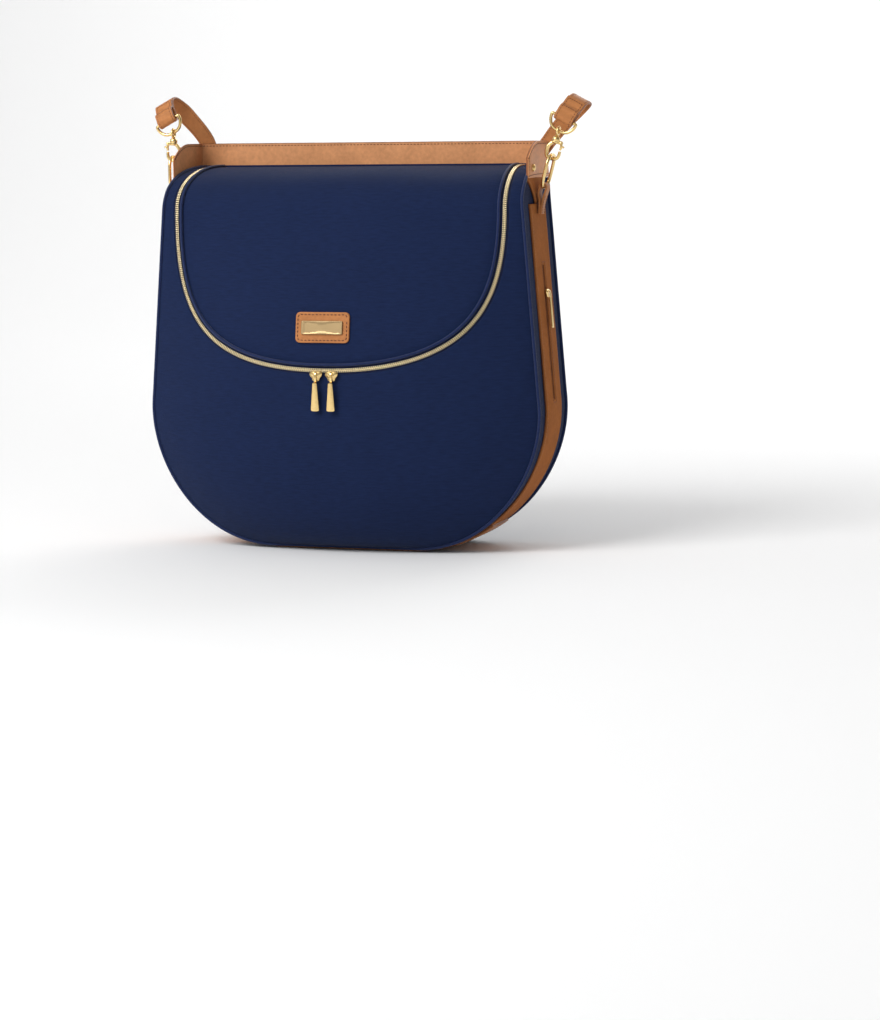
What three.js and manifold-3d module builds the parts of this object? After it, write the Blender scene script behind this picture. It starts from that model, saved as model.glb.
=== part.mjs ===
// A soft saddle-shaped diaper bag: a deep U-shaped zip frees a lid that hinges along the back of the top,
// and two leather stroller straps with swivel hooks hold it by an oval ring at each side.
// Millimetres. +X is the bag's right seen from the front, the front faces -Y, +Z is up.
// The origin is the middle of the base, on the surface that the bag stands on.
import * as THREE from "three";
import { mergeVertices } from "three/addons/utils/BufferGeometryUtils.js";
import Module from "manifold-3d";

const wasm = await Module();
wasm.setup();

// ---- driving dimensions ----
const GAP = 0.3; // left between pieces that touch
const BAG_HEIGHT = 378; // seam line at the base to seam line at the top
const BASE_HALF_WIDTH = 76;
const WIDEST = { halfWidth: 203, height: 150 };
const LOW_CORNER = { baseReach: 158, sideX: 211, sideHeight: 84 }; // Bezier handles of the low corners
const SHOULDER = { halfWidth: 187, height: 350 };
const TOP_HALF_WIDTH = 179;
const SEAM_DEPTH = 50; // front and back seams from the middle of the bag
const TOP_EDGE = { depth: 78, height: 40 }; // the quarter ellipse by which the front turns into the top
const TOP_BACK_DEPTH = 44; // where the top panel ends, at the lid's hinge line
const FRONT_BULGE = 50;
const TOP_BULGE = 9;
const BACK_BULGE = 14;
const BULGE_POWER = 2.3;
const BULGE_FADE = 1.6; // how fast the bulge dies out over the top edge
const PANEL = 2.5; // padded fabric
const LINING = 1;
const LEATHER = 2;
const PIPING_RADIUS = 1.6;
const PIPING_END_ANGLE = (36 * Math.PI) / 180; // it ends under the leather band
const BASE_LEATHER = 4; // leather over a thin foam
const BASE_LIFT = BASE_LEATHER + GAP; // the leather base lies under the seam line

const ZIP = {
  halfWidth: 172,
  bottom: 181,
  sideTop: 336,
  backHalfWidth: 162,
  bottomReach: 144, // Bezier handles of the U
  sideReach: 95,
  tape: 3.4, // half of the zip's visible band
  split: 0.2, // half of the parting line between the two rows of teeth
};
const PATCH = { width: 56, height: 30, middle: 223, corner: 4, x: -3 };
const ZIP_PLAN_END = 60; // behind the middle, where the zip's two legs would reach their back half width
const NAMEPLATE = { width: 44, height: 13, thickness: 1.5 };
const SLIDER = { width: 13, height: 9.5, depth: 3.6, spacing: 8.1, top: 180.6 };
const PULL = { length: 26, topWidth: 4.6, endWidth: 8.6, thickness: 2.4 };
const SIDE_PULL = { length: 28, topWidth: 4.6, endWidth: 7, thickness: 1.6 };
const SIDE_SLIDER_SCALE = { across: 0.72, along: 0.8 };

const INNER_POCKET = { width: 210, height: 150, thickness: 1.2, y: 41, middle: 200 };

const SIDE_STRIP_HALF_WIDTH = 27;
const BASE_HALF_DEPTH = 42;
const STRIP_LOW = 24; // where the side strip meets the base panel
const SIDE_POCKET_ZIP = { low: 147, high: 280, halfWidth: 3 };
const SIDE_SLIDER_HEIGHT = 256;
const BAND = {
  low: 366,
  high: 402,
  back: SEAM_DEPTH + GAP,
  front: -24,
  endHeight: 386, // its ends slope down to this at the front
  slopeFrom: 14,
  cornerRadius: 0.8,
  thickness: 2.6,
};
const YOKE = { top: 365, point: 341, halfWidth: 28, pointHalfWidth: 6 };
const RIVET = { y: -9, height: 376, radius: 4 };

const RING = { barRadius: 1.7, height: 32.6, width: 24, lowBar: 356.7, standOff: 10 };
const RING_TAB = { halfWidth: 6, drop: 26, holeDrop: 16 }; // drops are below the ring's lower bar
const HOOK_ROD_RADIUS = 1.8;
const BARREL = { low: 401, high: 407.8, radius: 3.8, floor: 1.6 }; // the hook's swivel barrel
const GATE_PIVOT = { out: 6, height: 402.6, pinRadius: 0.8 };
const EYE = { radius: 3.9, rod: 1.3, height: 413.3 };
const D_RING = { barRadius: 1.6, width: 27, top: 427, bottom: 414 };
const STRAP = { width: 20, rearWidth: 16, thickness: 2.2 };
const STRAP_TILT = (28 * Math.PI) / 180; // the handlebar slopes down outwards where the strap crosses it
const HOOK_LEAN = { left: 0, right: (15 * Math.PI) / 180 }; // how far the clipped ring and hook lean out
const GRIP = { radius: 20.5, y: 27, rise: 0.5 }; // the handlebar that the strap goes round
const STUD = { x: 175, z: 392 };

// ---- materials ----
const finish = (color, roughness, metalness) => ({ color, roughness, metalness });
const NAVY = finish(0x24305c, 0.85, 0);
const TAN = finish(0xb9743f, 0.6, 0);
const GOLD = finish(0xd9b76c, 0.28, 1);
const TAPE = finish(0xcaa85f, 0.5, 0.6);
const CLOTH = finish(0xcdbb9a, 0.9, 0);
const BOARD = finish(0x3a3a3c, 0.7, 0);

// ---- solids ----
function toSolid(geometry) {
  const plain = new THREE.BufferGeometry();
  plain.setAttribute("position", geometry.getAttribute("position"));
  if (geometry.index) plain.setIndex(geometry.index);
  const merged = mergeVertices(plain, 1e-4);
  return new wasm.Manifold(
    new wasm.Mesh({
      numProp: 3,
      vertProperties: merged.attributes.position.array,
      triVerts: new Uint32Array(merged.index.array),
    }),
  );
}

function toGeometry(solid) {
  const mesh = solid.getMesh();
  const positions = new Float32Array(mesh.numVert * 3);
  for (let i = 0; i < mesh.numVert; i += 1) {
    positions.set(mesh.vertProperties.subarray(i * mesh.numProp, i * mesh.numProp + 3), i * 3);
  }
  const geometry = new THREE.BufferGeometry();
  geometry.setAttribute("position", new THREE.BufferAttribute(positions, 3));
  geometry.setIndex(new THREE.BufferAttribute(mesh.triVerts, 1));
  return geometry;
}

// A closed sheet between two grids of points; place(row, column, face) gives a point for rows and
// columns from 0 to 1, face 1 being the outside and 0 the inside.
function closedSheet(rowValues, columnValues, place) {
  const positions = [];
  const index = [];
  const columns = columnValues.length;
  const faceSize = rowValues.length * columns;
  for (const face of [1, 0]) {
    for (const row of rowValues) {
      for (const column of columnValues) positions.push(...place(row, column, face));
    }
  }
  const quad = (a, b, c, d) => index.push(a, b, c, a, c, d);
  for (let i = 0; i + 1 < rowValues.length; i += 1) {
    for (let j = 0; j + 1 < columns; j += 1) {
      const a = i * columns + j;
      quad(a, a + 1, a + columns + 1, a + columns);
      quad(faceSize + a, faceSize + a + columns, faceSize + a + columns + 1, faceSize + a + 1);
    }
  }
  const wall = (a, b) => quad(a, faceSize + a, faceSize + b, b);
  const last = (rowValues.length - 1) * columns;
  for (let j = 0; j + 1 < columns; j += 1) {
    wall(j, j + 1);
    wall(last + j + 1, last + j);
  }
  for (let i = 0; i + 1 < rowValues.length; i += 1) {
    wall((i + 1) * columns, i * columns);
    wall(i * columns + columns - 1, (i + 2) * columns - 1);
  }
  const geometry = new THREE.BufferGeometry();
  geometry.setAttribute("position", new THREE.Float32BufferAttribute(positions, 3));
  geometry.setIndex(index);
  return facingOut(geometry);
}

function facingOut(geometry) {
  const order = geometry.index.array;
  let volume = 0;
  const corner = [0, 1, 2].map(() => new THREE.Vector3());
  for (let i = 0; i < order.length; i += 3) {
    corner.forEach((v, k) => v.fromBufferAttribute(geometry.attributes.position, order[i + k]));
    volume += corner[0].dot(corner[1].clone().cross(corner[2]));
  }
  if (volume < 0) {
    for (let i = 0; i < order.length; i += 3) [order[i], order[i + 1]] = [order[i + 1], order[i]];
  }
  return geometry;
}

const steps = (count, from = 0, to = 1) =>
  Array.from({ length: count + 1 }, (_, i) => from + ((to - from) * i) / count);

// A round bar bent along a closed curve.
function closedBar(curve, radius, segments, sides = 6) {
  const frames = curve.computeFrenetFrames(segments, true);
  const positions = [];
  const index = [];
  for (let i = 0; i < segments; i += 1) {
    const centre = curve.getPointAt(i / segments);
    for (let j = 0; j < sides; j += 1) {
      const angle = (2 * Math.PI * j) / sides;
      const point = centre
        .clone()
        .addScaledVector(frames.normals[i], radius * Math.cos(angle))
        .addScaledVector(frames.binormals[i], radius * Math.sin(angle));
      positions.push(point.x, point.y, point.z);
      const next = (i + 1) % segments;
      const a = i * sides + j;
      const b = i * sides + ((j + 1) % sides);
      const c = next * sides + ((j + 1) % sides);
      const d = next * sides + j;
      index.push(a, b, c, a, c, d);
    }
  }
  const geometry = new THREE.BufferGeometry();
  geometry.setAttribute("position", new THREE.Float32BufferAttribute(positions, 3));
  geometry.setIndex(index);
  return facingOut(geometry);
}

// A round bar along an open curve.
function openBar(curve, radius, segments, sides = 6) {
  const section = new THREE.Shape();
  for (let j = 0; j < sides; j += 1) {
    const angle = (2 * Math.PI * j) / sides;
    const point = [radius * Math.cos(angle), radius * Math.sin(angle)];
    if (j === 0) section.moveTo(...point);
    else section.lineTo(...point);
  }
  section.closePath();
  return new THREE.ExtrudeGeometry(section, { steps: segments, bevelEnabled: false, extrudePath: curve });
}

// A flat shape drawn in X and Z, thick along Y from yFrom to yTo.
function plateXZ(shape, yFrom, yTo) {
  const geometry = new THREE.ExtrudeGeometry(shape, { depth: yTo - yFrom, bevelEnabled: false });
  geometry.rotateX(Math.PI / 2);
  geometry.translate(0, yTo, 0);
  return geometry;
}

function polygon(points) {
  const shape = new THREE.Shape();
  shape.setFromPoints(points.map(([x, y]) => new THREE.Vector2(x, y)));
  return shape;
}

// A solid of revolution about Y, turned so that its axis points along `axis`.
function turned(profile, axis, segments = 16) {
  const geometry = new THREE.LatheGeometry(
    profile.map(([r, h]) => new THREE.Vector2(r, h)),
    segments,
  );
  const turn = new THREE.Quaternion().setFromUnitVectors(
    new THREE.Vector3(0, 1, 0),
    new THREE.Vector3(...axis),
  );
  geometry.applyQuaternion(turn);
  return geometry;
}

function box(width, depth, height, x, y, z) {
  return new THREE.BoxGeometry(width, depth, height).translate(x, y, z);
}

// ---- the bag's surfaces, measured from the base seam line ----
const lowerSide = new THREE.CubicBezierCurve(
  new THREE.Vector2(BASE_HALF_WIDTH, 0),
  new THREE.Vector2(LOW_CORNER.baseReach, 0),
  new THREE.Vector2(LOW_CORNER.sideX, LOW_CORNER.sideHeight),
  new THREE.Vector2(WIDEST.halfWidth, WIDEST.height),
);
const upperSide = new THREE.CubicBezierCurve(
  new THREE.Vector2(SHOULDER.halfWidth, SHOULDER.height),
  new THREE.Vector2(SHOULDER.halfWidth, SHOULDER.height + 12),
  new THREE.Vector2(TOP_HALF_WIDTH + 6, BAG_HEIGHT - 4),
  new THREE.Vector2(TOP_HALF_WIDTH, BAG_HEIGHT),
);

function onCurveAtHeight(curve, height) {
  let low = 0;
  let high = 1;
  for (let i = 0; i < 40; i += 1) {
    const middle = (low + high) / 2;
    if (curve.getPoint(middle).y < height) low = middle;
    else high = middle;
  }
  return curve.getPoint(low).x;
}

// Half the bag's width at a height: round low corners, nearly straight sides, soft shoulders.
function halfWidthAt(height) {
  if (height <= WIDEST.height) return onCurveAtHeight(lowerSide, Math.max(height, 0));
  if (height >= SHOULDER.height) return onCurveAtHeight(upperSide, Math.min(height, BAG_HEIGHT));
  const share = (height - WIDEST.height) / (SHOULDER.height - WIDEST.height);
  return WIDEST.halfWidth + share * (SHOULDER.halfWidth - WIDEST.halfWidth);
}

const belly = (height) => Math.sin(Math.PI * (height / BAG_HEIGHT) ** 0.62) ** 0.8;
const backBulgeAt = (height) =>
  BACK_BULGE * belly(Math.min((height * BAG_HEIGHT) / (BAND.low - 4), BAG_HEIGHT));
const frontBulgeAt = (height) => FRONT_BULGE * belly(height) + (TOP_BULGE * height) / BAG_HEIGHT;

// The front seam seen from the side: up the front, round the top edge, then back along the top.
const FRONT_RUN = BAG_HEIGHT - TOP_EDGE.height;
const EDGE_RUN = (Math.PI / 2) * Math.hypot(TOP_EDGE.depth, TOP_EDGE.height) * Math.SQRT1_2;
const TOP_RUN = TOP_BACK_DEPTH + SEAM_DEPTH - TOP_EDGE.depth;
const WHOLE_RUN = FRONT_RUN + EDGE_RUN + TOP_RUN;

function profileAt(run) {
  if (run <= FRONT_RUN) {
    return { y: -SEAM_DEPTH, z: run, out: [-1, 0], bulge: frontBulgeAt(run) };
  }
  const edge = Math.min((run - FRONT_RUN) / EDGE_RUN, 1);
  const angle = (edge * Math.PI) / 2;
  const along = Math.max(run - FRONT_RUN - EDGE_RUN, 0);
  const outY = -TOP_EDGE.height * Math.cos(angle);
  const outZ = TOP_EDGE.depth * Math.sin(angle);
  const length = Math.hypot(outY, outZ);
  return {
    y: -SEAM_DEPTH + TOP_EDGE.depth * (1 - Math.cos(angle)) + along,
    z: FRONT_RUN + TOP_EDGE.height * Math.sin(angle),
    out: [outY / length, outZ / length],
    bulge: frontBulgeAt(FRONT_RUN) * (1 - edge) ** BULGE_FADE,
  };
}

// A point of the front-and-top surface at width x, `offset` outside it.
function frontPoint(x, run, offset) {
  const edge = profileAt(run);
  const share = Math.min(Math.abs(x) / halfWidthAt(edge.z), 1);
  const out = edge.bulge * (1 - share ** BULGE_POWER) + offset;
  return [x, edge.y + edge.out[0] * out, edge.z + edge.out[1] * out];
}

const CORNER_STEPS = 7;
const EDGE_STEPS = 4;
const cornerHeights = steps(CORNER_STEPS).map((t) => lowerSide.getPoint(t).y);
const frontRuns = [
  ...cornerHeights,
  ...steps(5, WIDEST.height, FRONT_RUN).slice(1),
  ...steps(EDGE_STEPS, FRONT_RUN, FRONT_RUN + EDGE_RUN).slice(1),
  WHOLE_RUN,
];
const acrossFront = steps(18, -1, 1);

function frontShell(outer, inner) {
  return closedSheet(frontRuns, acrossFront, (run, across, face) =>
    frontPoint(across * halfWidthAt(profileAt(run).z), run, face ? outer : inner),
  );
}

// ---- the U of the zip ----
const rightLeg = new THREE.CubicBezierCurve(
  new THREE.Vector2(0, ZIP.bottom),
  new THREE.Vector2(ZIP.bottomReach, ZIP.bottom),
  new THREE.Vector2(ZIP.halfWidth, ZIP.sideTop - ZIP.sideReach),
  new THREE.Vector2(ZIP.halfWidth, ZIP.sideTop),
);

function zipHalf(offset) {
  return steps(10).map((t) => {
    const point = rightLeg.getPoint(t);
    const tangent = rightLeg.getTangent(t);
    return [point.x + tangent.y * offset, point.y - tangent.x * offset];
  });
}

// Everything inside the U, from the front to the hinge line, widened by `offset`.
function insideZip(offset) {
  const half = zipHalf(offset);
  const above = BAG_HEIGHT + 60;
  const ahead = -160;
  const behind = ZIP_PLAN_END;
  const outline = [
    [-half.at(-1)[0], above],
    ...half.toReversed().map(([x, z]) => [-x, z]),
    ...half.slice(1),
    [half.at(-1)[0], above],
  ];
  const front = toSolid(plateXZ(polygon(outline), ahead, behind));
  const wide = ZIP.halfWidth + offset;
  const narrow = ZIP.backHalfWidth + offset;
  const plan = polygon([
    [-wide, ahead],
    [wide, ahead],
    [wide, -SEAM_DEPTH],
    [narrow, behind],
    [-narrow, behind],
    [-wide, -SEAM_DEPTH],
  ]);
  const top = toSolid(new THREE.ExtrudeGeometry(plan, { depth: above, bevelEnabled: false }));
  return front.intersect(top);
}

// ---- pieces ----
const group = new THREE.Group();
const bag = new THREE.Group(); // everything measured from the base seam line
bag.position.z = BASE_LIFT;
group.add(bag);

function add(name, geometry, look, parent = bag) {
  const mesh = new THREE.Mesh(geometry, new THREE.MeshStandardMaterial(look));
  mesh.name = name;
  parent.add(mesh);
  return mesh;
}

function shellAndLid() {
  const shell = toSolid(frontShell(0, -PANEL));
  add("front_panel", toGeometry(shell.subtract(insideZip(ZIP.tape + GAP))), NAVY);
  add("lid_panel", toGeometry(shell.intersect(insideZip(-ZIP.tape - GAP))), NAVY);

  const teeth = toSolid(frontShell(0.9, -1.6));
  const bodyHalf = insideZip(ZIP.tape).subtract(insideZip(ZIP.split));
  const lidHalf = insideZip(-ZIP.split).subtract(insideZip(-ZIP.tape));
  add("zip_teeth_body", toGeometry(teeth.intersect(bodyHalf)), TAPE);
  add("zip_teeth_lid", toGeometry(teeth.intersect(lidHalf)), TAPE);

  const lining = toSolid(frontShell(-PANEL - GAP, -PANEL - GAP - LINING));
  add("lid_lining", toGeometry(lining.intersect(insideZip(-ZIP.tape - 2))), CLOTH);
}

// A cord along the lid's edge, inside the zip.
function lidPiping() {
  const inset = ZIP.tape + PIPING_RADIUS + 1;
  const out = PIPING_RADIUS + 3 * GAP;
  const half = zipHalf(-inset).map(([x, z]) => new THREE.Vector3(...frontPoint(x, z, out)));
  for (const run of [...steps(EDGE_STEPS, FRONT_RUN, FRONT_RUN + EDGE_RUN), WHOLE_RUN - 4]) {
    const back = (profileAt(run).y + SEAM_DEPTH) / (ZIP_PLAN_END + SEAM_DEPTH);
    const x = ZIP.halfWidth - inset - back * (ZIP.halfWidth - ZIP.backHalfWidth);
    half.push(new THREE.Vector3(...frontPoint(x, run, out)));
  }
  const mirrored = half.slice(1).toReversed().map((p) => new THREE.Vector3(-p.x, p.y, p.z));
  const path = new THREE.CatmullRomCurve3([...mirrored, ...half]);
  add("lid_piping", openBar(path, PIPING_RADIUS, 48), NAVY);
}

function backPanel() {
  const heights = [
    ...cornerHeights,
    ...steps(5, WIDEST.height, BAND.low - 4).slice(1),
    BAG_HEIGHT - 3,
  ];
  const sheet = closedSheet(heights, steps(12, -1, 1), (height, across, face) => {
    const swell = backBulgeAt(height) * (1 - Math.abs(across) ** BULGE_POWER);
    return [across * halfWidthAt(height), SEAM_DEPTH + swell - (face ? 0 : PANEL), height];
  });
  add("back_panel", sheet, NAVY);
}

// The outline of the bag's side and base as one path from the left top to the right top.
function sidePath(top, straightSteps) {
  const turn = steps(EDGE_STEPS, 0, Math.PI / 2).slice(1);
  const heights = [
    ...steps(straightSteps, WIDEST.height, Math.min(top, FRONT_RUN)).slice(1),
    ...(top > FRONT_RUN ? turn.map((a) => FRONT_RUN + (top - FRONT_RUN) * Math.sin(a)) : []),
  ];
  const right = [
    ...steps(CORNER_STEPS).map((t) => lowerSide.getPoint(t)),
    ...heights.map((z) => new THREE.Vector2(halfWidthAt(z), z)),
  ];
  const left = right.map((p) => new THREE.Vector2(-p.x, p.y)).reverse();
  const base = steps(6, -BASE_HALF_WIDTH, BASE_HALF_WIDTH).slice(1, -1);
  return [...left, ...base.map((x) => new THREE.Vector2(x, 0)), ...right];
}

// The point `offset` outside a path's corner i.
function besidePath(path, i, offset) {
  const before = path[Math.max(i - 1, 0)];
  const after = path[Math.min(i + 1, path.length - 1)];
  const along = after.clone().sub(before).normalize();
  return [path[i].x + along.y * offset, path[i].y - along.x * offset];
}

function gusset() {
  const inset = PANEL + GAP;
  const top = BAG_HEIGHT - inset;
  const path = sidePath(top, 6);
  const edge = { depth: TOP_EDGE.depth - inset, height: TOP_EDGE.height - inset };
  const rows = path.map((_, i) => i);
  const strip = closedSheet(rows, steps(4), (i, across, face) => {
    const rise = Math.max(path[i].y - FRONT_RUN, 0) / edge.height;
    const reach = edge.depth * Math.sqrt(Math.max(1 - rise ** 2, 0));
    const front = 2 * GAP + TOP_EDGE.depth - SEAM_DEPTH - reach;
    const back = SEAM_DEPTH - inset;
    const [x, z] = besidePath(path, i, face ? 0 : -PANEL);
    return [x, front + (back - front) * across, z];
  });
  let solid = toSolid(strip);
  for (const side of [-1, 1]) {
    const { low, high, halfWidth } = SIDE_POCKET_ZIP;
    const slot = box(40, halfWidth, high - low - 4, side * WIDEST.halfWidth, 0, (low + high) / 2);
    solid = solid.subtract(toSolid(slot));
  }
  add("gusset", toGeometry(solid), NAVY);
}

// A leather or fabric piece lying on the side of the bag, on the same rows as the gusset.
function sidePiece(side, low, high, frontAt, backAt, offset, thickness) {
  const between = sidePath(BAG_HEIGHT - PANEL - GAP, 6)
    .filter((p) => p.x > 0 && p.y > low + 1 && p.y < high - 1)
    .map((p) => p.y);
  return closedSheet([low, ...between, high], steps(2), (z, across, face) => {
    const slope = (halfWidthAt(z + 1) - halfWidthAt(z - 1)) / 2;
    const out = offset + (face ? thickness : 0);
    const scale = out / Math.hypot(1, slope);
    const y = frontAt(z) + (backAt(z) - frontAt(z)) * across;
    return [side * (halfWidthAt(z) + scale), y, z - slope * scale];
  });
}

function sideStrip(side, name) {
  const strip = sidePiece(
    side,
    STRIP_LOW,
    YOKE.point - GAP,
    () => -SIDE_STRIP_HALF_WIDTH,
    () => SIDE_STRIP_HALF_WIDTH,
    GAP,
    LEATHER,
  );
  const { low: zipLow, high: zipHigh, halfWidth } = SIDE_POCKET_ZIP;
  const slitMiddle = (zipLow + zipHigh) / 2;
  const slit = box(60, 2 * (halfWidth + GAP), zipHigh - zipLow, side * WIDEST.halfWidth, 0, slitMiddle);
  add(`side_strip_${name}`, toGeometry(toSolid(strip).subtract(toSolid(slit))), TAN);
  const teeth = sidePiece(
    side,
    zipLow + GAP,
    zipHigh - GAP,
    () => -halfWidth,
    () => halfWidth,
    GAP,
    LEATHER - 0.6,
  );
  add(`side_zip_teeth_${name}`, teeth, TAPE);
  const pocket = sidePiece(side, WIDEST.height, 300, () => -36, () => 36, -PANEL - GAP - LINING, LINING);
  add(`side_pocket_${name}`, pocket, CLOTH);
}

function basePanel() {
  const path = sidePath(BAG_HEIGHT, 1).filter((p) => p.y < STRIP_LOW - 2);
  const rows = path.map((_, i) => i);
  const strip = closedSheet(rows, steps(2, -1, 1), (i, across, face) => {
    const [x, z] = besidePath(path, i, GAP + (face ? BASE_LEATHER : 0));
    const flat = Math.abs(path[i].x) <= BASE_HALF_WIDTH;
    const half = flat ? BASE_HALF_DEPTH : SIDE_STRIP_HALF_WIDTH;
    return [flat ? path[i].x : x, across * half, flat ? -GAP - (face ? BASE_LEATHER : 0) : z];
  });
  add("base_panel", strip, TAN);
  add("base_board", box(2 * BASE_HALF_WIDTH, 2 * BASE_HALF_DEPTH, 2.4, 0, 0, PANEL + GAP + 1.2), BOARD);
}

// Piping along a seam: down one side, under the base and up the other.
function seamPiping(name, y, top, overTheTop) {
  const offset = PIPING_RADIUS + 2 * GAP;
  const path = sidePath(top, 7);
  const points = path.map((_, i) => {
    const [x, z] = besidePath(path, i, offset);
    return new THREE.Vector3(x, y, z);
  });
  if (overTheTop) {
    for (const angle of steps(2, 0, PIPING_END_ANGLE).slice(1)) {
      const z = FRONT_RUN + TOP_EDGE.height * Math.sin(angle);
      const depth = y + TOP_EDGE.depth * (1 - Math.cos(angle));
      points.push(new THREE.Vector3(halfWidthAt(z) + offset, depth, z));
      points.unshift(new THREE.Vector3(-halfWidthAt(z) - offset, depth, z));
    }
  }
  add(name, openBar(new THREE.CatmullRomCurve3(points), PIPING_RADIUS, 52), NAVY);
}

// The space inside the bag, `inset` from the seam lines.
function interior(inset, low, high) {
  const heights = steps(8, low, high);
  const sides = 8;
  const loop = (height) => {
    const half = halfWidthAt(height - inset) - inset;
    const face = (sign, bulge) =>
      steps(sides, -1, 1).map((s) => {
        const out = SEAM_DEPTH - inset + bulge * (1 - Math.abs(s) ** BULGE_POWER);
        return [sign * s * half, -sign * out, height];
      });
    return [...face(1, frontBulgeAt(height)), ...face(-1, backBulgeAt(height))];
  };
  const rings = heights.map(loop);
  const count = rings[0].length;
  const positions = [...rings.flat(), [0, 0, low], [0, 0, high]].flat();
  const index = [];
  for (let i = 0; i < rings.length - 1; i += 1) {
    for (let j = 0; j < count; j += 1) {
      const a = i * count + j;
      const b = i * count + ((j + 1) % count);
      index.push(a, b, b + count, a, b + count, a + count);
    }
  }
  for (let j = 0; j < count; j += 1) {
    const next = (j + 1) % count;
    const top = (rings.length - 1) * count;
    index.push(next, j, rings.length * count);
    index.push(top + j, top + next, rings.length * count + 1);
  }
  const geometry = new THREE.BufferGeometry();
  geometry.setAttribute("position", new THREE.Float32BufferAttribute(positions, 3));
  geometry.setIndex(index);
  return toSolid(facingOut(geometry));
}

function liningAndPocket() {
  const inset = PANEL + 2.4;
  const floor = 20;
  const rim = FRONT_RUN - 8;
  const tub = interior(inset, floor, rim).subtract(interior(inset + LINING, floor + LINING, rim + 10));
  const frontHalf = toSolid(box(2 * BAG_HEIGHT, BAG_HEIGHT, 2 * BAG_HEIGHT, 0, -BAG_HEIGHT / 2, 0));
  const mouth = insideZip(ZIP.tape + 1).intersect(frontHalf);
  add("main_lining", toGeometry(tub.subtract(mouth)), CLOTH);
  const { width, height, thickness, y, middle } = INNER_POCKET;
  add("inner_pocket", box(width, thickness, height, 0, y, middle), CLOTH);
}

// The leather band that stands along the back of the top and wraps round both ends.
function topBand() {
  const inner = halfWidthAt(BAND.low) + GAP;
  const plan = (out) => {
    const x = inner + out;
    const y = BAND.back + out;
    const radius = BAND.cornerRadius + out;
    const corner = steps(4, 0, Math.PI / 2).map((a) => [
      x - radius + radius * Math.cos(a),
      y - radius + radius * Math.sin(a),
    ]);
    return [[x, BAND.front], ...corner];
  };
  const outer = plan(BAND.thickness);
  const mirror = (points) => points.map(([x, y]) => [-x, y]).reverse();
  const outline = [...outer, ...mirror(outer), ...mirror(plan(0)).reverse(), ...plan(0).reverse()];
  const options = { depth: BAND.high - BAND.low, bevelEnabled: false };
  const strip = new THREE.ExtrudeGeometry(polygon(outline), options).translate(0, 0, BAND.low);
  const slope = steps(6).map((t) => [
    BAND.slopeFrom + t * (BAND.front - BAND.slopeFrom),
    BAND.high - t ** 2 * (BAND.high - BAND.endHeight),
  ]);
  const ahead = BAND.front - 5;
  const clear = BAND.high + 5;
  const above = polygon([[BAND.slopeFrom, clear], ...slope, [ahead, BAND.endHeight], [ahead, clear]]);
  const wedge = new THREE.ExtrudeGeometry(above, { depth: 2 * WIDEST.halfWidth, bevelEnabled: false });
  wedge.translate(0, 0, -WIDEST.halfWidth);
  wedge.applyMatrix4(new THREE.Matrix4().set(0, 0, 1, 0, 1, 0, 0, 0, 0, 1, 0, 0, 0, 0, 0, 1));
  add("top_band", toGeometry(toSolid(strip).subtract(toSolid(wedge))), TAN);
}

function yokeAndRingTab(side, name) {
  const { point, top, halfWidth, pointHalfWidth } = YOKE;
  const spread = halfWidth - pointHalfWidth;
  const width = (z) => pointHalfWidth + spread * ((z - point) / (top - point)) ** 1.5;
  const yoke = sidePiece(side, point, top, (z) => -width(z), width, GAP, LEATHER);
  add(`yoke_${name}`, yoke, TAN);

  // a folded strip of leather that goes round the ring's lower bar
  const { halfWidth: tabHalfWidth, drop, holeDrop } = RING_TAB;
  const wall = halfWidthAt(RING.lowBar - drop) + LEATHER + 3 * GAP;
  const hole = RING.barRadius + 3 * GAP;
  const outer = hole + LEATHER;
  const arc = (radius) =>
    steps(8, 0, Math.PI).map((a) => [
      ringX + radius * Math.cos(a),
      RING.lowBar + radius * Math.sin(a),
    ]);
  const end = RING.lowBar - drop;
  const shape = polygon([[wall + 1.4, end], ...arc(outer), [wall, end]]);
  const opening = new THREE.Path();
  const inside = [[wall + 4, RING.lowBar - holeDrop], ...arc(hole).reverse()];
  opening.setFromPoints(inside.map((p) => new THREE.Vector2(...p)));
  shape.holes.push(opening);
  const tab = plateXZ(shape, -tabHalfWidth, tabHalfWidth);
  if (side < 0) tab.rotateZ(Math.PI);
  add(`ring_tab_${name}`, tab, TAN);

  const face = halfWidthAt(BAND.low) + GAP + BAND.thickness;
  const r = RIVET.radius;
  const rivet = turned([[0, 0], [r, 0], [r, 0.9], [0.65 * r, 2], [0, 2.4]], [side, 0, 0], 14);
  rivet.translate(side * (face + GAP), RIVET.y, RIVET.height);
  add(`rivet_${name}`, rivet, GOLD);
}

function patchAndNameplate() {
  const patchGrid = (width, height, corner, low, high) =>
    closedSheet(steps(4, -0.5, 0.5), steps(6, -0.5, 0.5), (row, across, face) => {
      const z = PATCH.middle + row * height;
      const trim = Math.abs(row) > 0.4 ? corner : 0;
      return frontPoint(PATCH.x + across * (width - 2 * trim), z, face ? high : low);
    });
  add("patch", patchGrid(PATCH.width, PATCH.height, PATCH.corner / 2, GAP, GAP + LEATHER), TAN);
  const low = LEATHER + 2 * GAP;
  const plate = patchGrid(NAMEPLATE.width, NAMEPLATE.height, 0, low, low + NAMEPLATE.thickness);
  add("nameplate", plate, GOLD);
}

// A plain pull that widens to its end, hinged at its top.
function pullTab({ length, topWidth, endWidth, thickness }) {
  const top = topWidth / 2;
  const end = endWidth / 2;
  const outline = polygon([
    [-top, 1.4],
    [-top + 1, 2.4],
    [top - 1, 2.4],
    [top, 1.4],
    [end, -length + 2],
    [end - 1.4, -length],
    [-end + 1.4, -length],
    [-end, -length + 2],
  ]);
  return plateXZ(outline, -thickness / 2, thickness / 2);
}

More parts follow.
